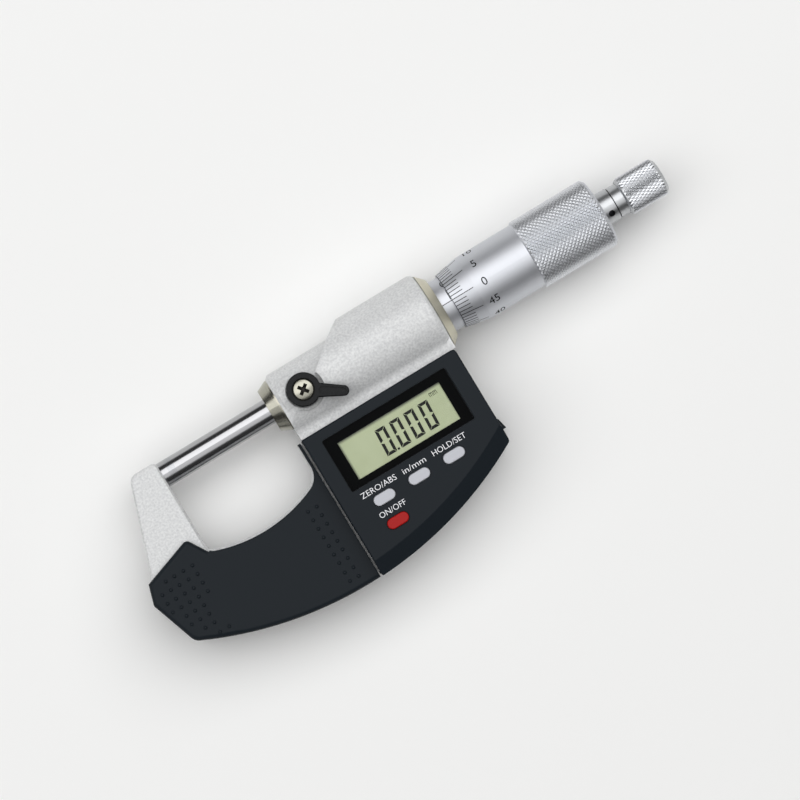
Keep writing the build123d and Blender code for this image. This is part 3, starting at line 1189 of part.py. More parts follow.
# Data socket behind the port, with a row of contact blades
SOCKET_MOUTH = Location((HOUSING_RIGHT - HOUSING_WALL - 2 * RUN_FIT, PORT_Y, 0))
with BuildPart(FRONT.offset(PORT_Z) * SOCKET_MOUTH) as data_socket:
    Box(SOCKET_DEPTH, SOCKET_LENGTH, PORT_HEIGHT + SOCKET_WALL, align=TO_LEFT)
    socket_inside = (SOCKET_DEPTH - SOCKET_WALL, PORT_LENGTH - SOCKET_WALL, PORT_HEIGHT - SOCKET_WALL)
    Box(*socket_inside, align=TO_LEFT, mode=Mode.SUBTRACT)
    with Locations((-SOCKET_WALL, 0, 0)):
        with GridLocations(1, BLADE_PITCH, 1, BLADE_COUNT):
            Box(SOCKET_DEPTH - SOCKET_WALL, BLADE_WIDTH, BLADE_T, align=TO_LEFT)
data_socket.part.label = "data_socket"
export_step(data_socket.part, "parts/data_socket.step")

# Shutter of the data port, with a wedge for the fingernail
with BuildPart() as port_shutter:
    with BuildSketch(SLIDE_START):
        add(shutter_section())
    extrude(amount=-SHUTTER_LENGTH)
    with BuildSketch(FRONT.offset(PORT_Z - TAB_WIDTH / 2)):
        with BuildLine():
            shutter_low = PORT_Y - SHUTTER_LENGTH / 2
            Polyline(
                (HOUSING_RIGHT - 2 * RUN_FIT, shutter_low),
                (HOUSING_RIGHT + TAB_HIGH, shutter_low),
                (HOUSING_RIGHT + TAB_LOW, shutter_low + TAB_LENGTH),
                (HOUSING_RIGHT - 2 * RUN_FIT, shutter_low + TAB_LENGTH + TAB_RISE),
                close=True,
            )
        make_face()
    extrude(amount=TAB_WIDTH)
port_shutter.part.label = "port_shutter"
export_step(port_shutter.part, "parts/port_shutter.step")

# Screws: long ones through the casting into the housing, short ones through the rear grip cover
COVER_SEAT = BACK + COVER_HEAD_SEAT
with BuildPart() as cover_screws:
    with Locations(*spots(COVER_SCREWS, COVER_SEAT)):
        Cylinder(SCREW_HEAD_R, COVER_HEAD_T, align=ROOF)
        Cylinder(SCREW_R, ARM_HALF + SCREW_BITE - EDGE - COVER_SEAT, align=BASE)
    with Locations(*spots(COVER_SCREWS, COVER_SEAT - COVER_HEAD_T)):
        Box(SCREW_CROSS, SCREW_CROSS_WIDTH, COVER_HEAD_T, mode=Mode.SUBTRACT)
        Box(SCREW_CROSS_WIDTH, SCREW_CROSS, COVER_HEAD_T, mode=Mode.SUBTRACT)
cover_screws.part.label = "cover_screws"
export_step(cover_screws.part, "parts/cover_screws.step")

GRIP_BACK = -ARM_HALF - GRIP_T
with BuildPart() as grip_screws:
    with Locations(*spots(GRIP_SCREWS, GRIP_BACK + SEAT_FIT)):
        Cone(SCREW_HEAD_R - SEAT_FIT, SCREW_R, GRIP_HEAD_T, align=BASE)
        Cylinder(SCREW_R, ARM_HALF - EDGE - GRIP_BACK, align=BASE)
    with Locations(*spots(GRIP_SCREWS, GRIP_BACK)):
        Box(SCREW_CROSS, SCREW_CROSS_WIDTH, GRIP_HEAD_T, mode=Mode.SUBTRACT)
        Box(SCREW_CROSS_WIDTH, SCREW_CROSS, GRIP_HEAD_T, mode=Mode.SUBTRACT)
grip_screws.part.label = "grip_screws"
export_step(grip_screws.part, "parts/grip_screws.step")
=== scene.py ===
from math import cos, pi, radians, sin

import bmesh
import bpy
from mathutils import Matrix, Vector


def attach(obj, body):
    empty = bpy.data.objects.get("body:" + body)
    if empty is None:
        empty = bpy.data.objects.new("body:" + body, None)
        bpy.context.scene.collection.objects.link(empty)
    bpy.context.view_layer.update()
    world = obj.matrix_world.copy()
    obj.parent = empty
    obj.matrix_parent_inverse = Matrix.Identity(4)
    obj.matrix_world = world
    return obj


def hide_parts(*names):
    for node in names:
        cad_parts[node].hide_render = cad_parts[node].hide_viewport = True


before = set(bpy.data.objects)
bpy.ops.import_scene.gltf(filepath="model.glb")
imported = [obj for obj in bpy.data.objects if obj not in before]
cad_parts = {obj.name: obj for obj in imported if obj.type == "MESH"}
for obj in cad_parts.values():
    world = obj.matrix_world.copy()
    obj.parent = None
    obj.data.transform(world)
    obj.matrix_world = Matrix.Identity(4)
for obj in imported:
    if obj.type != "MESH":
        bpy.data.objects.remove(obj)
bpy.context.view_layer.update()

# The place where the picture is taken: a pale matt table top under two long softboxes side by
# side, the brighter one leaning to the barrel's side. The room is pale near the floor and dark
# above it, which gives the metal dark edges. The camera looks almost straight down.
MM = 0.001
TABLE_HALF = 4.0
SOFTBOX_LENGTH = 4.0
SOFTBOX_FAR = 1.4
CAMERA_PLACE = Vector((-34.0, -2.2, 1010.95)) * MM
CAMERA_TARGET = Vector((4.5, 1.76, 10.95)) * MM
TOOL_TURN = radians(31.18)  # how far the camera's roll turns the measuring line up to the right


def linear(code):
    """An sRGB hex colour as the linear colour that lights and shaders take."""
    parts = [int(code[k:k + 2], 16) / 255 for k in (0, 2, 4)]
    return [c / 12.92 if c <= 0.04045 else ((c + 0.055) / 1.055) ** 2.4 for c in parts] + [1.0]


def add_node(tree, kind, settings=(), links=()):
    """A shader node with its settings and the links into it."""
    node = tree.nodes.new(kind)
    for name, value in dict(settings).items():
        if isinstance(name, str) and hasattr(node, name):
            setattr(node, name, value)
        else:
            node.inputs[name].default_value = value
    for socket, source in dict(links).items():
        tree.links.new(source, node.inputs[socket])
    return node


def new_finish(name, colour, settings):
    """A material of one colour, with its node tree and its shader to link patterns into."""
    finish = bpy.data.materials.new(name)
    finish.use_nodes = True
    shader = finish.node_tree.nodes["Principled BSDF"]
    shader.inputs["Base Color"].default_value = linear(colour)
    for socket, value in settings.items():
        shader.inputs[socket].default_value = value
    return finish, finish.node_tree, shader


def add_piece(name, shape, finish, body=None):
    """An object from a bmesh, in its finish; it rides on a body of the tool if one is named."""
    mesh = bpy.data.meshes.new(name)
    shape.to_mesh(mesh)
    shape.free()
    mesh.materials.append(finish)
    piece = bpy.data.objects.new(name, mesh)
    bpy.context.scene.collection.objects.link(piece)
    if body:
        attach(piece, body)
    return piece


matt_top, tree, shader = new_finish("matt white laminate", "F9F9F8", {"Roughness": 0.75})
table = bmesh.new()
bmesh.ops.create_grid(table, x_segments=1, y_segments=1, size=TABLE_HALF)
add_piece("table_top", table, matt_top)

for name, lean, width, power in (("main softbox", -20.5, 1.22, 27.0), ("fill softbox", 19.0, 0.8, 7.5)):
    softbox = bpy.data.lights.new(name, "AREA")
    softbox.shape = "RECTANGLE"
    softbox.size = SOFTBOX_LENGTH
    softbox.size_y = width
    softbox.energy = power
    lamp = bpy.data.objects.new(name, softbox)
    lamp.matrix_world = Matrix.Rotation(radians(lean), 4, "X") @ Matrix.Translation((0, 0, SOFTBOX_FAR))
    bpy.context.scene.collection.objects.link(lamp)

room = bpy.data.worlds.new("studio room")
room.use_nodes = True
room_tree = room.node_tree
toward = add_node(room_tree, "ShaderNodeTexCoord")
height = add_node(room_tree, "ShaderNodeSeparateXYZ", links={0: toward.outputs["Generated"]})
walls = add_node(room_tree, "ShaderNodeValToRGB", links={"Fac": height.outputs["Z"]})
walls.color_ramp.elements.remove(walls.color_ramp.elements[0])
for rise, shade in ((0.0, "D2D2D2"), (0.08, "D2D2D2"), (0.2, "404040"), (0.65, "404040")):
    stop = walls.color_ramp.elements.new(rise)
    stop.color = linear(shade)
walls.color_ramp.elements[-1].color = linear("A0A0A0")
backdrop = room_tree.nodes["Background"]
room_tree.links.new(walls.outputs[0], backdrop.inputs["Color"])
bpy.context.scene.world = room
bpy.context.scene.view_settings.view_transform = "Standard"

lens = bpy.data.cameras.new("camera")
lens.sensor_width = 36.0
lens.lens = 183.6
lens.clip_start = 0.05
lens.clip_end = 20.0
aim = (CAMERA_TARGET - CAMERA_PLACE).normalized()
along = Vector((1, 0, 0))
along = (along - along.dot(aim) * aim).normalized()
across = (-aim).cross(along)
right = cos(TOOL_TURN) * along - sin(TOOL_TURN) * across
up = sin(TOOL_TURN) * along + cos(TOOL_TURN) * across
camera = bpy.data.objects.new("camera", lens)
camera.matrix_world = Matrix.Translation(CAMERA_PLACE) @ Matrix((right, up, -aim)).transposed().to_4x4()
bpy.context.scene.collection.objects.link(camera)
bpy.context.scene.camera = camera

# Frame: one iron casting, fettled, filled and sprayed with silver-grey hammer enamel. The enamel
# draws up into soft dimples a little under a millimetre across, and its aluminium flake makes it
# faintly mottled.
NOISE_LOW, NOISE_HIGH = 0.3, 0.7  # nearly all of a noise pattern lies between these two


def grain(tree, size, detail=2.0, drawn_out=0.0):
    """An uneven pattern of marks as large as given, in metres. A second size draws the marks out
    that far across the measuring axis, which looks like rings on a turned piece."""
    place = add_node(tree, "ShaderNodeTexCoord").outputs["Object"]
    around = drawn_out or size
    repeats = {"Scale": (1 / size, 1 / around, 1 / around)}
    marks = add_node(tree, "ShaderNodeMapping", repeats, {"Vector": place})
    evenness = {"Scale": 1.0, "Detail": detail}
    return add_node(tree, "ShaderNodeTexNoise", evenness, {"Vector": marks.outputs[0]}).outputs[0]


def vary_gloss(tree, shader, pattern, low, high):
    """Let the roughness run between two values with a pattern."""
    ends = {"From Min": NOISE_LOW, "From Max": NOISE_HIGH, "To Min": low, "To Max": high}
    level = add_node(tree, "ShaderNodeMapRange", ends, {"Value": pattern})
    tree.links.new(level.outputs[0], shader.inputs["Roughness"])


def vary_colour(tree, shader, pattern, first, second, low=NOISE_LOW, high=NOISE_HIGH):
    """Let the colour run from one to another while a pattern goes from low to high."""
    ends = {"From Min": low, "From Max": high}
    level = add_node(tree, "ShaderNodeMapRange", ends, {"Value": pattern})
    colours = {"data_type": "RGBA", "A": linear(first), "B": linear(second)}
    mixed = add_node(tree, "ShaderNodeMix", colours, {"Factor": level.outputs[0]})
    tree.links.new(mixed.outputs["Result"], shader.inputs["Base Color"])


def raise_relief(tree, shader, pattern, height, strength):
    """Let a pattern stand up by a height in metres."""
    relief = add_node(tree, "ShaderNodeBump", {"Strength": strength, "Distance": height}, {"Height": pattern})
    tree.links.new(relief.outputs[0], shader.inputs["Normal"])


def coat(finish, *nodes):
    """Give CAD pieces their finish."""
    for name in nodes:
        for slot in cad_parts[name].material_slots:
            slot.material = finish


enamel, tree, shader = new_finish(
    "silver-grey hammer enamel", "D4D5D6", {"Metallic": 0.1, "Roughness": 0.42, "IOR": 1.52}
)
vary_colour(tree, shader, grain(tree, 0.55 * MM, detail=3.0), "C7C8C9", "E2E3E3")
raise_relief(tree, shader, grain(tree, 0.8 * MM, detail=1.5), 0.05 * MM, 0.6)
coat(enamel, "frame")

# Anvil and spindle: hardened steel, cylindrically ground and then lapped to a dark mirror. What is
# left of the grinding is faint rings round the axis. The hard-metal tips are a little greyer, and
# the inner sleeve, the lock pad and the lock shaft are ground in the same way.
RING_MARK = 0.25 * MM  # real grinding marks are finer; these are as coarse as the picture needs
RING_RUN = 16 * MM  # how far a ring runs before it fades


def rings(tree, detail=2.0):
    """The marks that turning and grinding leave."""
    return grain(tree, RING_MARK, detail, RING_RUN)


ground, tree, shader = new_finish("ground and lapped steel", "B0B0B2", {"Metallic": 1.0})
vary_gloss(tree, shader, rings(tree), 0.13, 0.2)
coat(ground, "anvil", "spindle", "inner_sleeve", "lock_pad", "lock_shaft")

carbide, tree, shader = new_finish("lapped tungsten carbide", "A9AAAD", {"Metallic": 1.0})
vary_gloss(tree, shader, grain(tree, 0.2 * MM, detail=3.0), 0.15, 0.22)
coat(carbide, "anvil_tip", "spindle_tip")

# Nose bush and rear ring: turned steel, plated with bright nickel, which is warmer than chrome.
# Turning marks show through the plating as fine rings, most on the rear ring, which is plated over
# a coarser cut.
nickel, tree, shader = new_finish("bright nickel plate", "ABA99D", {"Metallic": 1.0})
vary_gloss(tree, shader, rings(tree), 0.18, 0.26)
coat(nickel, "nose_bush")

satin_nickel, tree, shader = new_finish("satin nickel plate", "CCC8B6", {"Metallic": 1.0})
vary_gloss(tree, shader, rings(tree), 0.34, 0.42)
coat(satin_nickel, "rear_ring")

# Sleeve: a steel tube with a satin chrome finish. Its datum line, its marks every half millimetre
# and its numbers every five millimetres are engraved and filled with black.
MEETING = Vector((-52.0, 16.0, 10.95)) * MM  # where anvil and spindle meet, on the measuring line
SLEEVE_R = 6.85 * MM
ZERO_X = 79.66 * MM  # place of the zero mark, at the thimble's edge, counted from the meeting point
SCALE_LENGTH = 25  # millimetres
DATUM_MIDDLE, DATUM_LENGTH = 91.2 * MM, 28.6 * MM
LONG_TICK, SHORT_TICK, TICK_GAP = 2.7 * MM, 2.0 * MM, 0.3 * MM
SLEEVE_NUMBER_Y, SLEEVE_NUMBER_HEIGHT = 5.2 * MM, 1.75 * MM
MARK_WIDTH = 0.18 * MM
INK_DEPTH = 0.03 * MM
INK_PROUD = 0.015 * MM
CAP_SHARE = 0.729  # height of a figure as a share of the font's size
WRAP_STEP = 0.4 * MM  # how finely a flat marking is cut before it is bent round

chrome, tree, shader = new_finish("satin chrome plate", "D0D2D7", {"Metallic": 1.0})
vary_gloss(tree, shader, rings(tree, 3.0), 0.47, 0.52)
coat(chrome, "graduated_sleeve", "thimble")

black_fill, tree, shader = new_finish("black engraving enamel", "0E0F11", {"Specular IOR Level": 0.08})
vary_gloss(tree, shader, grain(tree, 0.15 * MM), 0.6, 0.8)


def add_bar(shape, x, y, length, width):
    """A thin bar on z = 0, given by its centre, its length along x and its width along y."""
    size = Matrix.Diagonal((length, width, INK_DEPTH, 1))
    bmesh.ops.create_cube(shape, size=1.0, matrix=Matrix.Translation((x, y, 0)) @ size)


def add_words(shape, words, x, y, height, width=0.0, bold=0.0):
    """Plain lettering on z = 0, centred at x and y, its figures as high as given. A width makes it
    narrower or wider, and bold thickens its strokes, or thins them where it is below zero."""
    curve = bpy.data.curves.new(words, "FONT")
    curve.body = words
    curve.align_x = "CENTER"
    curve.size = height / CAP_SHARE
    curve.extrude = INK_DEPTH / 2
    curve.offset = bold
    curve.resolution_u = 3
    setting = bpy.data.objects.new(words, curve)
    bpy.context.scene.collection.objects.link(setting)
    drawn = setting.evaluated_get(bpy.context.evaluated_depsgraph_get())
    mesh = bpy.data.meshes.new_from_object(drawn)
    spread = width / drawn.dimensions.x if width else 1.0
    mesh.transform(Matrix.Translation((x, y - height / 2, 0)) @ Matrix.Diagonal((spread, 1, 1, 1)))
    shape.from_mesh(mesh)
    bpy.data.objects.remove(setting)


def wrap_round(shape, radius_at):
    """Bend a flat marking round the measuring axis: x stays, y runs up the front, z stands out."""
    low = min(vert.co.y for vert in shape.verts)
    high = max(vert.co.y for vert in shape.verts)
    for k in range(1, int((high - low) / WRAP_STEP) + 1):
        bmesh.ops.bisect_plane(
            shape, geom=shape.verts[:] + shape.edges[:] + shape.faces[:],
            plane_co=(0, low + k * WRAP_STEP, 0), plane_no=(0, 1, 0),
        )
    lift = INK_PROUD - INK_DEPTH / 2
    for vert in shape.verts:
        radius = radius_at(vert.co.x)
        turn = vert.co.y / radius
        out = radius + vert.co.z + lift
        vert.co = MEETING + Vector((vert.co.x, out * sin(turn), out * cos(turn)))


sleeve_marks = bmesh.new()
add_bar(sleeve_marks, DATUM_MIDDLE, 0, DATUM_LENGTH, MARK_WIDTH)
for half in range(2 * SCALE_LENGTH + 1):
    tick = LONG_TICK if half % 10 == 0 else SHORT_TICK
    side = 1 if half % 2 == 0 else -1
    x = ZERO_X - MARK_WIDTH / 2 + half * MM / 2
    add_bar(sleeve_marks, x, side * (tick / 2 + TICK_GAP), MARK_WIDTH, tick)
for number in range(0, SCALE_LENGTH + 1, 5):
    x = ZERO_X + number * MM
    add_words(sleeve_marks, str(number), x, SLEEVE_NUMBER_Y, SLEEVE_NUMBER_HEIGHT, bold=0.02 * MM)
wrap_round(sleeve_marks, lambda x: SLEEVE_R)
add_piece("sleeve_marks", sleeve_marks, black_fill, "frame")

# Thimble: turned in one piece with a bevelled edge, satin chrome plated. Fifty engraved lines on
# the bevel, each fifth one longer and numbered behind it, read the hundredths of a millimetre. A
# narrow band of dark chrome round the very edge is painted shade, for the shadow at the sleeve.
BEVEL_START_R = 7.33 * MM
THIMBLE_R = 8.6 * MM
BEVEL_END = 86.15 * MM
LINE_COUNT = 50
LINE_START, SHORT_LINE_END, LONG_LINE_END = 79.8 * MM, 83.2 * MM, 85.65 * MM
THIMBLE_NUMBER_X, THIMBLE_NUMBER_HEIGHT = 88.8 * MM, 2.2 * MM
EDGE_MIDDLE, EDGE_WIDTH = 79.75 * MM, 0.16 * MM


def thimble_radius(x):
    """Radius of the thimble in front of its grip band: a cone and then a cylinder."""
    share = (x - ZERO_X) / (BEVEL_END - ZERO_X)
    return BEVEL_START_R + min(share, 1) * (THIMBLE_R - BEVEL_START_R)


def take_in(shape, small):
    """Put a finished small shape into a larger one."""
    mesh = bpy.data.meshes.new("small_shape")
    small.to_mesh(mesh)
    small.free()
    shape.from_mesh(mesh)
    bpy.data.meshes.remove(mesh)


bevel_lines = bmesh.new()
for line in range(LINE_COUNT):
    line_end = LONG_LINE_END if line % 5 == 0 else SHORT_LINE_END
    single = bmesh.new()
    add_bar(single, (LINE_START + line_end) / 2, 0, line_end - LINE_START, MARK_WIDTH)
    wrap_round(single, thimble_radius)
    turn = Matrix.Rotation(-line * 2 * pi / LINE_COUNT, 4, "X")
    single.transform(Matrix.Translation(MEETING) @ turn @ Matrix.Translation(-MEETING))
    take_in(bevel_lines, single)
add_piece("thimble_lines", bevel_lines, black_fill, "spindle")

# Painted shade: a dark chrome band round the thimble's edge stands for the shadow in the gap.
painted_edge_shade, tree, shader = new_finish("dark chrome as painted shade at the thimble's edge", "5F6165", {"Metallic": 1.0})
vary_gloss(tree, shader, rings(tree, 3.0), 0.3, 0.4)
edge_shade_ring = bmesh.new()
add_bar(edge_shade_ring, EDGE_MIDDLE, 0, EDGE_WIDTH, 2 * pi * BEVEL_START_R)
wrap_round(edge_shade_ring, thimble_radius)
add_piece("thimble_edge_shade", edge_shade_ring, painted_edge_shade, "spindle")

thimble_numbers = bmesh.new()
for number in range(0, LINE_COUNT, 5):
    turn = 2 * pi * (number if number < LINE_COUNT / 2 else number - LINE_COUNT) / LINE_COUNT
    add_words(thimble_numbers, str(number), THIMBLE_NUMBER_X, turn * THIMBLE_R, THIMBLE_NUMBER_HEIGHT)
wrap_round(thimble_numbers, lambda x: THIMBLE_R)
add_piece("thimble_numbers", thimble_numbers, black_fill, "spindle")


def knurl(start, end, foot_r, peak_r, length, count):
    """Diamond knurling: rows of blunt four-sided points round the measuring axis."""
    points = bmesh.new()
    width = 2 * pi * foot_r / count
    rows = int((end - start) / (length / 2)) - 1
    inset = (end - start - (rows + 1) * length / 2) / 2
    for row in range(rows):
        x = start + inset + (row + 1) * length / 2
        for k in range(count):
            turn = (k + row % 2 / 2) * 2 * pi / count
            place = (
                Matrix.Translation(MEETING + Vector((x, 0, 0)))
                @ Matrix.Rotation(turn, 4, "X")
                @ Matrix.Translation((0, 0, (foot_r + peak_r) / 2))
                @ Matrix.Diagonal((length, width, peak_r - foot_r, 1))
            )
            bmesh.ops.create_cone(
                points, cap_ends=True, segments=4, radius1=0.5, radius2=0.12, depth=1.0, matrix=place
            )
    return points


knurl_chrome, tree, shader = new_finish("chrome on a rolled knurl", "D9DBDF", {"Metallic": 1.0})
vary_gloss(tree, shader, grain(tree, 0.3 * MM), 0.28, 0.36)
grip_band = knurl(
    start=101.6 * MM, end=122.3 * MM, foot_r=8.91 * MM, peak_r=9.17 * MM, length=1.145 * MM, count=46
)
add_piece("thimble_knurl", grip_band, knurl_chrome, "spindle")

# Ratchet: turned steel with its own diamond knurl, plated over a finer cut than the thimble's, so
# it is brighter. Its parts inside are a steel screw and a coil spring of drawn wire.
BRIGHT_PLATE = "BBBDBF"
# Within these radii of the measuring axis the base's colour is painted dark, as shade in its hole.
HOLE_SHADE_R, HOLE_SHADE_END_R = 4.1 * MM, 4.2 * MM

bright_chrome, tree, shader = new_finish("bright chrome plate", BRIGHT_PLATE, {"Metallic": 1.0})
vary_gloss(tree, shader, rings(tree, 3.0), 0.3, 0.37)
coat(bright_chrome, "ratchet_knob", "ratchet_ring")
knob_band = knurl(
    start=129.3 * MM, end=139.6 * MM, foot_r=4.78 * MM, peak_r=4.98 * MM, length=1.55 * MM, count=34
)
add_piece("knob_knurl", knob_band, knurl_chrome, "ratchet_knob")

# The base's hole for the pin spanner is painted dark inside, as the shade in it.
hole_shaded_chrome, tree, shader = new_finish(
    "bright chrome plate with painted shade in its hole", BRIGHT_PLATE, {"Metallic": 1.0}
)
vary_gloss(tree, shader, rings(tree, 3.0), 0.3, 0.37)
place = add_node(tree, "ShaderNodeTexCoord").outputs["Object"]
flattened = {"Location": (0, -MEETING.y, -MEETING.z), "Scale": (0, 1, 1)}
from_axis = add_node(tree, "ShaderNodeMapping", flattened, {"Vector": place})
radius = add_node(tree, "ShaderNodeVectorMath", {"operation": "LENGTH"}, {0: from_axis.outputs[0]})
vary_colour(tree, shader, radius.outputs["Value"], "55565A", BRIGHT_PLATE, HOLE_SHADE_R, HOLE_SHADE_END_R)
coat(hole_shaded_chrome, "ratchet_base")

wire, tree, shader = new_finish("drawn spring steel", "8F9194", {"Metallic": 1.0})
vary_gloss(tree, shader, grain(tree, 0.3 * MM, detail=3.0), 0.24, 0.4)
coat(wire, "ratchet_spring", "wave_spring", "ratchet_screw")

# Adjusting nut and the rotor's bush: turned from brass rod, which keeps fine turning rings. Neither
# shows from outside.
brass, tree, shader = new_finish("turned brass", "C9A45C", {"Metallic": 1.0})
vary_gloss(tree, shader, rings(tree), 0.24, 0.38)
coat(brass, "adjusting_nut", "rotor_bush")

# Encoder and circuit board: glass-fibre boards under a green solder mask, whose weave shows through
# it faintly, and a thin amber ribbon between them. None of them shows from outside.
board, tree, shader = new_finish(
    "green solder mask on glass fibre", "1C5A37", {"Roughness": 0.35, "IOR": 1.5}
)
vary_colour(tree, shader, grain(tree, 0.6 * MM), "174E2F", "21653F")
coat(board, "circuit_board", "encoder_stator", "encoder_rotor")

ribbon, tree, shader = new_finish("amber polyimide film", "B5722A", {"IOR": 1.7})
vary_gloss(tree, shader, grain(tree, 0.4 * MM), 0.25, 0.35)
coat(ribbon, "encoder_ribbon")

# Battery and its contacts: a button cell in a nickel-plated can, between two stamped strips with
# a thin gold flash. The cap's seal and the two rubber parts behind the display are black rubber.
cell_can, tree, shader = new_finish("nickel-plated cell can", "C8C8C6", {"Metallic": 1.0})
vary_gloss(tree, shader, grain(tree, 0.4 * MM), 0.2, 0.3)
coat(cell_can, "coin_battery")

gold_flash, tree, shader = new_finish("gold-flashed contact strip", "D9BC74", {"Metallic": 1.0})
vary_gloss(tree, shader, grain(tree, 0.3 * MM), 0.22, 0.36)
coat(gold_flash, "centre_contact", "side_contact")

rubber, tree, shader = new_finish("black moulded rubber", "222325", {"IOR": 1.52, "Specular IOR Level": 0.3})
vary_gloss(tree, shader, grain(tree, 0.25 * MM), 0.6, 0.75)
coat(rubber, "contact_strips", "key_mat", "battery_seal")

# Display housing, covers and grips: injection-moulded black ABS. The tool was spark-eroded, which
# leaves a fine even grain that breaks up the gloss.
moulded, tree, shader = new_finish(
    "spark-grained black ABS", "141B21", {"Roughness": 0.5, "IOR": 1.54, "Specular IOR Level": 0.15}
)
raise_relief(tree, shader, grain(tree, 0.3 * MM, detail=3.0), 0.012 * MM, 0.5)
coat(moulded, "display_housing", "rear_cover", "battery_cap", "port_shutter", "data_socket")
coat(moulded, "front_grip", "rear_grip")

# Lock lever: black nylon, moulded in a polished tool, so it is smoother than the covers. It is set
# on the lock shaft and held there by the lever screw.
nylon, tree, shader = new_finish("smooth black nylon", "0B0D10", {"IOR": 1.53, "Specular IOR Level": 0.16})
vary_gloss(tree, shader, grain(tree, 0.5 * MM), 0.24, 0.34)
coat(nylon, "lock_lever")

# Lever screw: turned steel with a domed head, plated with nickel. Its cross recess narrows towards
# its bottom, and its faces are painted almost black, as the shade inside it. Its sizes are in
# millimetres, and its heights are counted from the measuring line.
LEVER_AXIS = MEETING + Vector((37.3, 0, 0)) * MM
HEAD_R, SHANK_R, DOME_R, DOME_STEPS = 2.7, 0.8, 6.0, 8
HEAD_TOP, HEAD_SEAT, SHANK_END = 13.15, 11.7, 8.1
CROSS_LENGTH, CROSS_WIDTH, CROSS_DEPTH, CROSS_TURN = 3.0, 0.88, 0.9, radians(38)
CROSS_TAPER = 0.5  # size of the recess's bottom as a share of its mouth

recess_shade, tree, shader = new_finish("painted shade in the cross recess", "2B2825", {"Metallic": 0.5})
vary_gloss(tree, shader, grain(tree, 0.2 * MM), 0.5, 0.7)

screw = bmesh.new()
radii = [HEAD_R * k / DOME_STEPS for k in range(DOME_STEPS + 1)]
dome = [(radius, HEAD_TOP - DOME_R + (DOME_R**2 - radius**2) ** 0.5) for radius in radii]
outline = dome + [(HEAD_R, HEAD_SEAT), (SHANK_R, HEAD_SEAT), (SHANK_R, SHANK_END), (0, SHANK_END)]
corners = [screw.verts.new((radius, 0, z)) for radius, z in outline]
side = [screw.edges.new(pair) for pair in zip(corners, corners[1:])]
bmesh.ops.spin(screw, geom=corners + side, axis=(0, 0, 1), angle=2 * pi, steps=48, use_merge=True)
bmesh.ops.remove_doubles(screw, verts=screw.verts[:], dist=0.001)
dome_rim = dome[-1][1]
for half in (CROSS_LENGTH / 2, CROSS_WIDTH / 2):
    for direction in ((1, 0, 0), (-1, 0, 0), (0, 1, 0), (0, -1, 0)):
        top = [face for face in screw.faces if face.calc_center_median().z > dome_rim]
        edges = {edge for face in top for edge in face.edges}
        verts = {vert for face in top for vert in face.verts}
        bmesh.ops.bisect_plane(
            screw, geom=[*top, *edges, *verts], plane_co=Vector(direction) * half, plane_no=direction
        )
mouth = []
for face in screw.faces:
    middle = face.calc_center_median()
    short_way, long_way = sorted((abs(middle.x), abs(middle.y)))
    if middle.z > dome_rim and long_way < CROSS_LENGTH / 2 and short_way < CROSS_WIDTH / 2:
        mouth.append(face)
sunk = bmesh.ops.extrude_face_region(screw, geom=mouth)["geom"]
bmesh.ops.delete(screw, geom=[face for face in mouth if face.is_valid], context="FACES_ONLY")
for item in sunk:
    if isinstance(item, bmesh.types.BMVert):
        item.co = Vector((item.co.x * CROSS_TAPER, item.co.y * CROSS_TAPER, item.co.z - CROSS_DEPTH))
        for face in item.link_faces:
            face.material_index = 1
bmesh.ops.recalc_face_normals(screw, faces=screw.faces[:])
screw.transform(
    Matrix.Translation(LEVER_AXIS) @ Matrix.Diagonal((MM, MM, MM, 1)) @ Matrix.Rotation(CROSS_TURN, 4, "Z")
)
lever_screw = add_piece("lever_screw", screw, nickel, "lock_lever")
# The second finish, on the recess's faces, is painted near-black shade.
lever_screw.data.materials.append(recess_shade)
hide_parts("lock_screw")

# Screws in the back: blank steel with flat heads. Their cross recesses lie deeper than the faces of
# the heads, and are painted darker with depth, as the shade inside them.
BLANK_STEEL = "B0B0B2"
RECESS_RIM, RECESS_DEEP = 0.02 * MM, 0.2 * MM

for name, head_face in (("cover_screws", 2.65 * MM), ("grip_screws", 3.47 * MM)):
    blank, tree, shader = new_finish("blank steel of the " + name, BLANK_STEEL, {"Metallic": 1.0})
    vary_gloss(tree, shader, grain(tree, RING_MARK), 0.22, 0.32)
    place = add_node(tree, "ShaderNodeTexCoord").outputs["Object"]
    depth = add_node(tree, "ShaderNodeSeparateXYZ", links={0: place}).outputs["Z"]
    rim, deep = head_face + RECESS_RIM, head_face + RECESS_DEEP
    vary_colour(tree, shader, depth, BLANK_STEEL, "262627", rim, deep)
    coat(blank, name)

# Holder behind the panel: a white moulded frame that stands on the circuit board and carries the
# panel, with the contact strips inside it. It doesn't show from outside.
white_abs, tree, shader = new_finish("white ABS", "E4E4E0", {"Roughness": 0.45, "IOR": 1.54})
raise_relief(tree, shader, grain(tree, 0.3 * MM), 0.01 * MM, 0.4)
coat(white_abs, "lcd_holder")

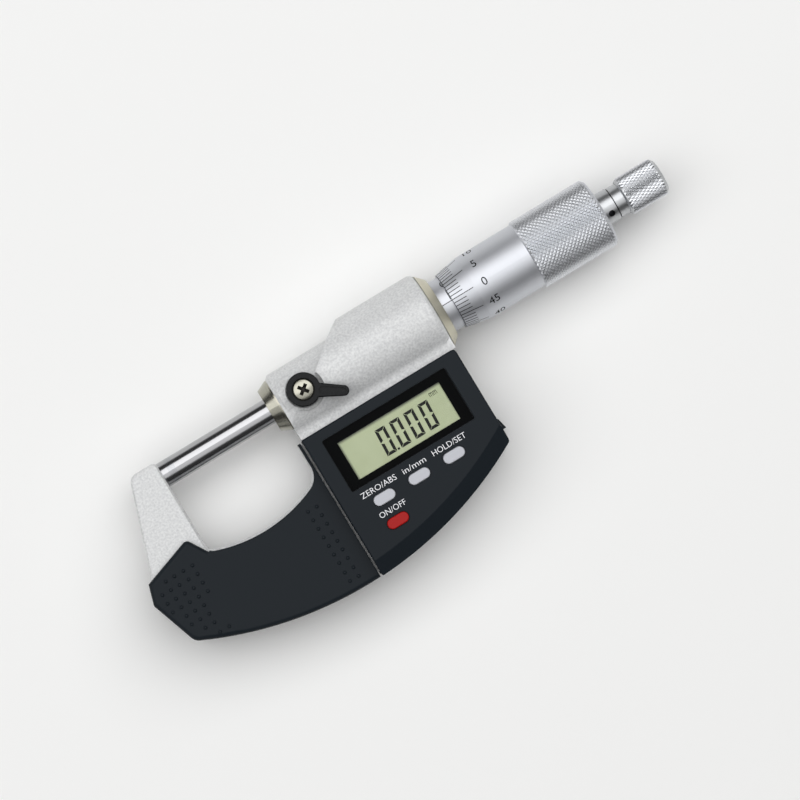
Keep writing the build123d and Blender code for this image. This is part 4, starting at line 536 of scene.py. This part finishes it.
# Grip studs: small domes moulded on both grip covers in a 2.45 mm grid, in two blocks, where the
# finger and the thumb hold the tool. The rear cover has none where its screws sit.
STUD_R = 0.48 * MM
STUD_HEIGHT = 0.32 * MM
GRIP_FACE = 7.5 * MM  # height of both covers' outer faces over the middle of the frame
FINGER_COLUMNS = (-18.01, -15.56, -13.11, -10.54, -7.97)
FINGER_ROWS = (  # each with its first column and the one after its last
    (-22.57, 1, 5), (-25.02, 0, 5), (-27.48, 0, 5), (-29.93, 0, 5),
    (-32.38, 1, 4), (-34.83, 1, 4), (-37.28, 2, 4), (-39.98, 3, 5),
)
THUMB_COLUMNS = (23.04, 25.49)
THUMB_ROWS = (-26.0, -28.46, -30.9, -33.36, -35.81, -38.26, -40.71, -43.41, -45.86)
CAMERA_AT = Vector((18.0, -18.2))  # point of the measuring plane that the camera stands over
CAMERA_HEIGHT = 1.0  # metres over that plane
GRIP_SCREWS = [Vector(spot) for spot in ((-13.0, -28.5), (6.0, -36.0), (24.0, -36.0))]
SCREW_KEEP_OUT = 2.6

stud_places = [Vector((x, y)) for y, first, end in FINGER_ROWS for x in FINGER_COLUMNS[first:end]]
stud_places += [Vector((x, y)) for y in THUMB_ROWS for x in THUMB_COLUMNS]
for side, name in ((1, "front_studs"), (-1, "rear_studs")):
    studs = bmesh.new()
    for seen in stud_places:
        # The columns and rows hold on the measuring plane; the front cover is nearer the camera.
        spot = seen - (seen - CAMERA_AT) * (GRIP_FACE / CAMERA_HEIGHT)
        if side < 0 and min((spot - screw).length for screw in GRIP_SCREWS) < SCREW_KEEP_OUT:
            continue
        place = Matrix.Translation(MEETING + Vector((spot.x * MM, spot.y * MM, side * GRIP_FACE)))
        dome = Matrix.Diagonal((STUD_R, STUD_R, STUD_HEIGHT, 1))
        bmesh.ops.create_uvsphere(studs, u_segments=10, v_segments=6, radius=1.0, matrix=place @ dome)
    add_piece(name, studs, moulded, "frame")

# Window and LCD: a clear acrylic window, finely etched against glare and printed black round its
# edge from behind, over a grey-green liquid crystal panel that shows 0.000 and the unit.
WINDOW_MIDDLE = MEETING + Vector((51.95, -20.28, 10.25)) * MM
PRINT_WIDTH, PRINT_HEIGHT, PRINT_DEPTH = 34.6 * MM, 14.3 * MM, 0.01 * MM
CLEAR_LEFT, CLEAR_RIGHT, CLEAR_TOP, CLEAR_BOTTOM = 37.6, 66.35, -15.37, -25.7

acrylic, tree, shader = new_finish("clear acrylic window", "0A0C0C", {"IOR": 1.49, "Alpha": 0.06})
vary_gloss(tree, shader, grain(tree, 2.0 * MM), 0.36, 0.42)
coat(acrylic, "display_lens")

back_print, tree, shader = new_finish("black back print", "060708", {"Specular IOR Level": 0.0})
vary_gloss(tree, shader, grain(tree, 0.4 * MM, detail=1.0), 0.42, 0.58)

mask = bmesh.new()
bmesh.ops.create_grid(
    mask, x_segments=1, y_segments=1, size=0.5,
    matrix=Matrix.Translation(WINDOW_MIDDLE) @ Matrix.Diagonal((PRINT_WIDTH, PRINT_HEIGHT, 1, 1)),
)
for edge, direction in (
    ((CLEAR_LEFT, 0), (1, 0, 0)),
    ((CLEAR_RIGHT, 0), (1, 0, 0)),
    ((0, CLEAR_TOP), (0, 1, 0)),
    ((0, CLEAR_BOTTOM), (0, 1, 0)),
):
    bmesh.ops.bisect_plane(
        mask, geom=mask.verts[:] + mask.edges[:] + mask.faces[:],
        plane_co=MEETING + Vector((*edge, 0)) * MM, plane_no=direction,
    )
middle = min(mask.faces, key=lambda face: (face.calc_center_median() - WINDOW_MIDDLE).length)
bmesh.ops.delete(mask, geom=[middle], context="FACES")
bmesh.ops.solidify(mask, geom=mask.faces[:], thickness=PRINT_DEPTH)
add_piece("window_print", mask, back_print, "frame")

# The panel lies under the print, so its top and its left edge are in the print's soft shade.
SHADE_START_Y, SHADE_FULL_Y = MEETING.y - 16.3 * MM, MEETING.y - 15.2 * MM
SHADE_START_X, SHADE_FULL_X = MEETING.x + 38.3 * MM, MEETING.x + 37.4 * MM

lcd, tree, shader = new_finish("liquid crystal panel", "B4BE96", {"Roughness": 0.3, "IOR": 1.5})
place = add_node(tree, "ShaderNodeTexCoord").outputs["Object"]
spot = add_node(tree, "ShaderNodeSeparateXYZ", links={0: place}).outputs
ends = {"From Min": NOISE_LOW, "From Max": NOISE_HIGH}
cloud = add_node(tree, "ShaderNodeMapRange", ends, {"Value": grain(tree, 6.0 * MM)})
colours = {"data_type": "RGBA", "A": linear("BFCAA0"), "B": linear("C9D4AC")}
lit = add_node(tree, "ShaderNodeMix", colours, {"Factor": cloud.outputs[0]})
top_edge = {"interpolation_type": "SMOOTHSTEP", "From Min": SHADE_START_Y, "From Max": SHADE_FULL_Y}
left_edge = {"interpolation_type": "SMOOTHSTEP", "From Min": SHADE_START_X, "From Max": SHADE_FULL_X}
under_top = add_node(tree, "ShaderNodeMapRange", top_edge, {"Value": spot["Y"]})
under_left = add_node(tree, "ShaderNodeMapRange", left_edge, {"Value": spot["X"]})
either = {0: under_top.outputs[0], 1: under_left.outputs[0]}
shade = add_node(tree, "ShaderNodeMath", {"operation": "MAXIMUM"}, either)
colours = {"data_type": "RGBA", "B": linear("3C4232")}
shaded = add_node(tree, "ShaderNodeMix", colours, {"Factor": shade.outputs[0], "A": lit.outputs["Result"]})
tree.links.new(shaded.outputs["Result"], shader.inputs["Base Color"])
coat(lcd, "lcd_panel")

# The dark liquid crystal stands in segments on the panel, in four leaning figures with a point
# after the first one, and the unit beside them.
READING_PLACE = MEETING + Vector((0, -21.0, 9.88)) * MM
FIGURE_W, FIGURE_H, STROKE, SEGMENT_GAP = 2.75 * MM, 7.0 * MM, 0.76 * MM, 0.06 * MM
FIRST_FIGURE_X, FIGURE_PITCH = 48.05, 4.04
POINT_X, POINT_SIZE = 49.95 * MM, 0.56 * MM
UNIT_X, UNIT_Y, UNIT_HEIGHT, UNIT_WIDTH = 63.8 * MM, 4.3 * MM, 1.7 * MM, 2.05 * MM
BLUNT_CUT = 0.45
LEAN = 0.05

lcd_black, tree, shader = new_finish("liquid crystal, dark", "0C0F09", {"Specular IOR Level": 0.2})
vary_gloss(tree, shader, grain(tree, 0.5 * MM, detail=1.0), 0.3, 0.4)


def add_segment(shape, x, y, turn, length, blunt=0):
    """One segment of a figure, with its long side outwards and its ends cut at 45 degrees. The end
    that blunt names, 1 or -1, meets no other segment and is cut less."""
    segment = bmesh.new()
    add_bar(segment, 0, -STROKE / 2, length - 2 * SEGMENT_GAP, STROKE)
    for corner in segment.verts:
        end = 1 if corner.co.x > 0 else -1
        if corner.co.y < -STROKE / 2:
            corner.co.x -= end * STROKE * (BLUNT_CUT if end == blunt else 1)
    segment.transform(Matrix.Translation((x, y, 0)) @ Matrix.Rotation(turn, 4, "Z"))
    take_in(shape, segment)


reading = bmesh.new()
for figure in range(4):
    x = (FIRST_FIGURE_X + FIGURE_PITCH * figure) * MM
    for half in (1, -1):
        add_segment(reading, x, half * FIGURE_H / 2, 0 if half == 1 else pi, FIGURE_W)
        for side in (1, -1):
            x_side, y_half = x + side * FIGURE_W / 2, half * FIGURE_H / 4
            add_segment(reading, x_side, y_half, -side * pi / 2, FIGURE_H / 2, side * half)
add_bar(reading, POINT_X, -FIGURE_H / 2 + POINT_SIZE / 2, POINT_SIZE, POINT_SIZE)
slant = Matrix.Identity(4)
slant[0][1] = LEAN
reading.transform(slant)
add_words(reading, "mm", UNIT_X, UNIT_Y, UNIT_HEIGHT, UNIT_WIDTH)
reading.transform(Matrix.Translation(READING_PLACE))
add_piece("reading", reading, lcd_black, "frame")

# Button labels: white ink, pad-printed on the front of the housing above each button. It dries to
# a thin, slightly matt film.
LABEL_HEIGHT, LABEL_BOLD = 1.52 * MM, -0.01 * MM
HOUSING_FRONT = MEETING + Vector((0, 0, 11.5)) * MM

white_ink, tree, shader = new_finish("white printing ink", "F4F5F8", {"Specular IOR Level": 0.3})
vary_gloss(tree, shader, grain(tree, 0.3 * MM), 0.45, 0.6)

labels = bmesh.new()
for words, x, y, width in (
    ("ZERO/ABS", 40.75, -29.5, 9.8),
    ("in/mm", 50.75, -29.5, 6.37),
    ("HOLD/SET", 60.6, -29.5, 9.3),
    ("ON/OFF", 40.85, -35.85, 7.23),
):
    add_words(labels, words, x * MM, y * MM, LABEL_HEIGHT, width * MM, LABEL_BOLD)
labels.transform(Matrix.Translation(HOUSING_FRONT))
add_piece("button_labels", labels, white_ink, "frame")

# Buttons: moulded ABS caps, three pale grey ones and a red one for the power. A fine grain in the
# mould leaves them silky.
pale, tree, shader = new_finish(
    "silky grey ABS", "C2C4CB", {"Roughness": 0.4, "IOR": 1.54, "Specular IOR Level": 0.4}
)
raise_relief(tree, shader, grain(tree, 0.25 * MM), 0.01 * MM, 0.3)
coat(pale, "zero_button", "unit_button", "hold_button")

red, tree, shader = new_finish(
    "silky red ABS", "A80F0C", {"Roughness": 0.45, "IOR": 1.54, "Specular IOR Level": 0.2}
)
raise_relief(tree, shader, grain(tree, 0.25 * MM), 0.01 * MM, 0.3)
coat(red, "power_button")

# Bring the placings up to date at the end.
bpy.context.view_layer.update()
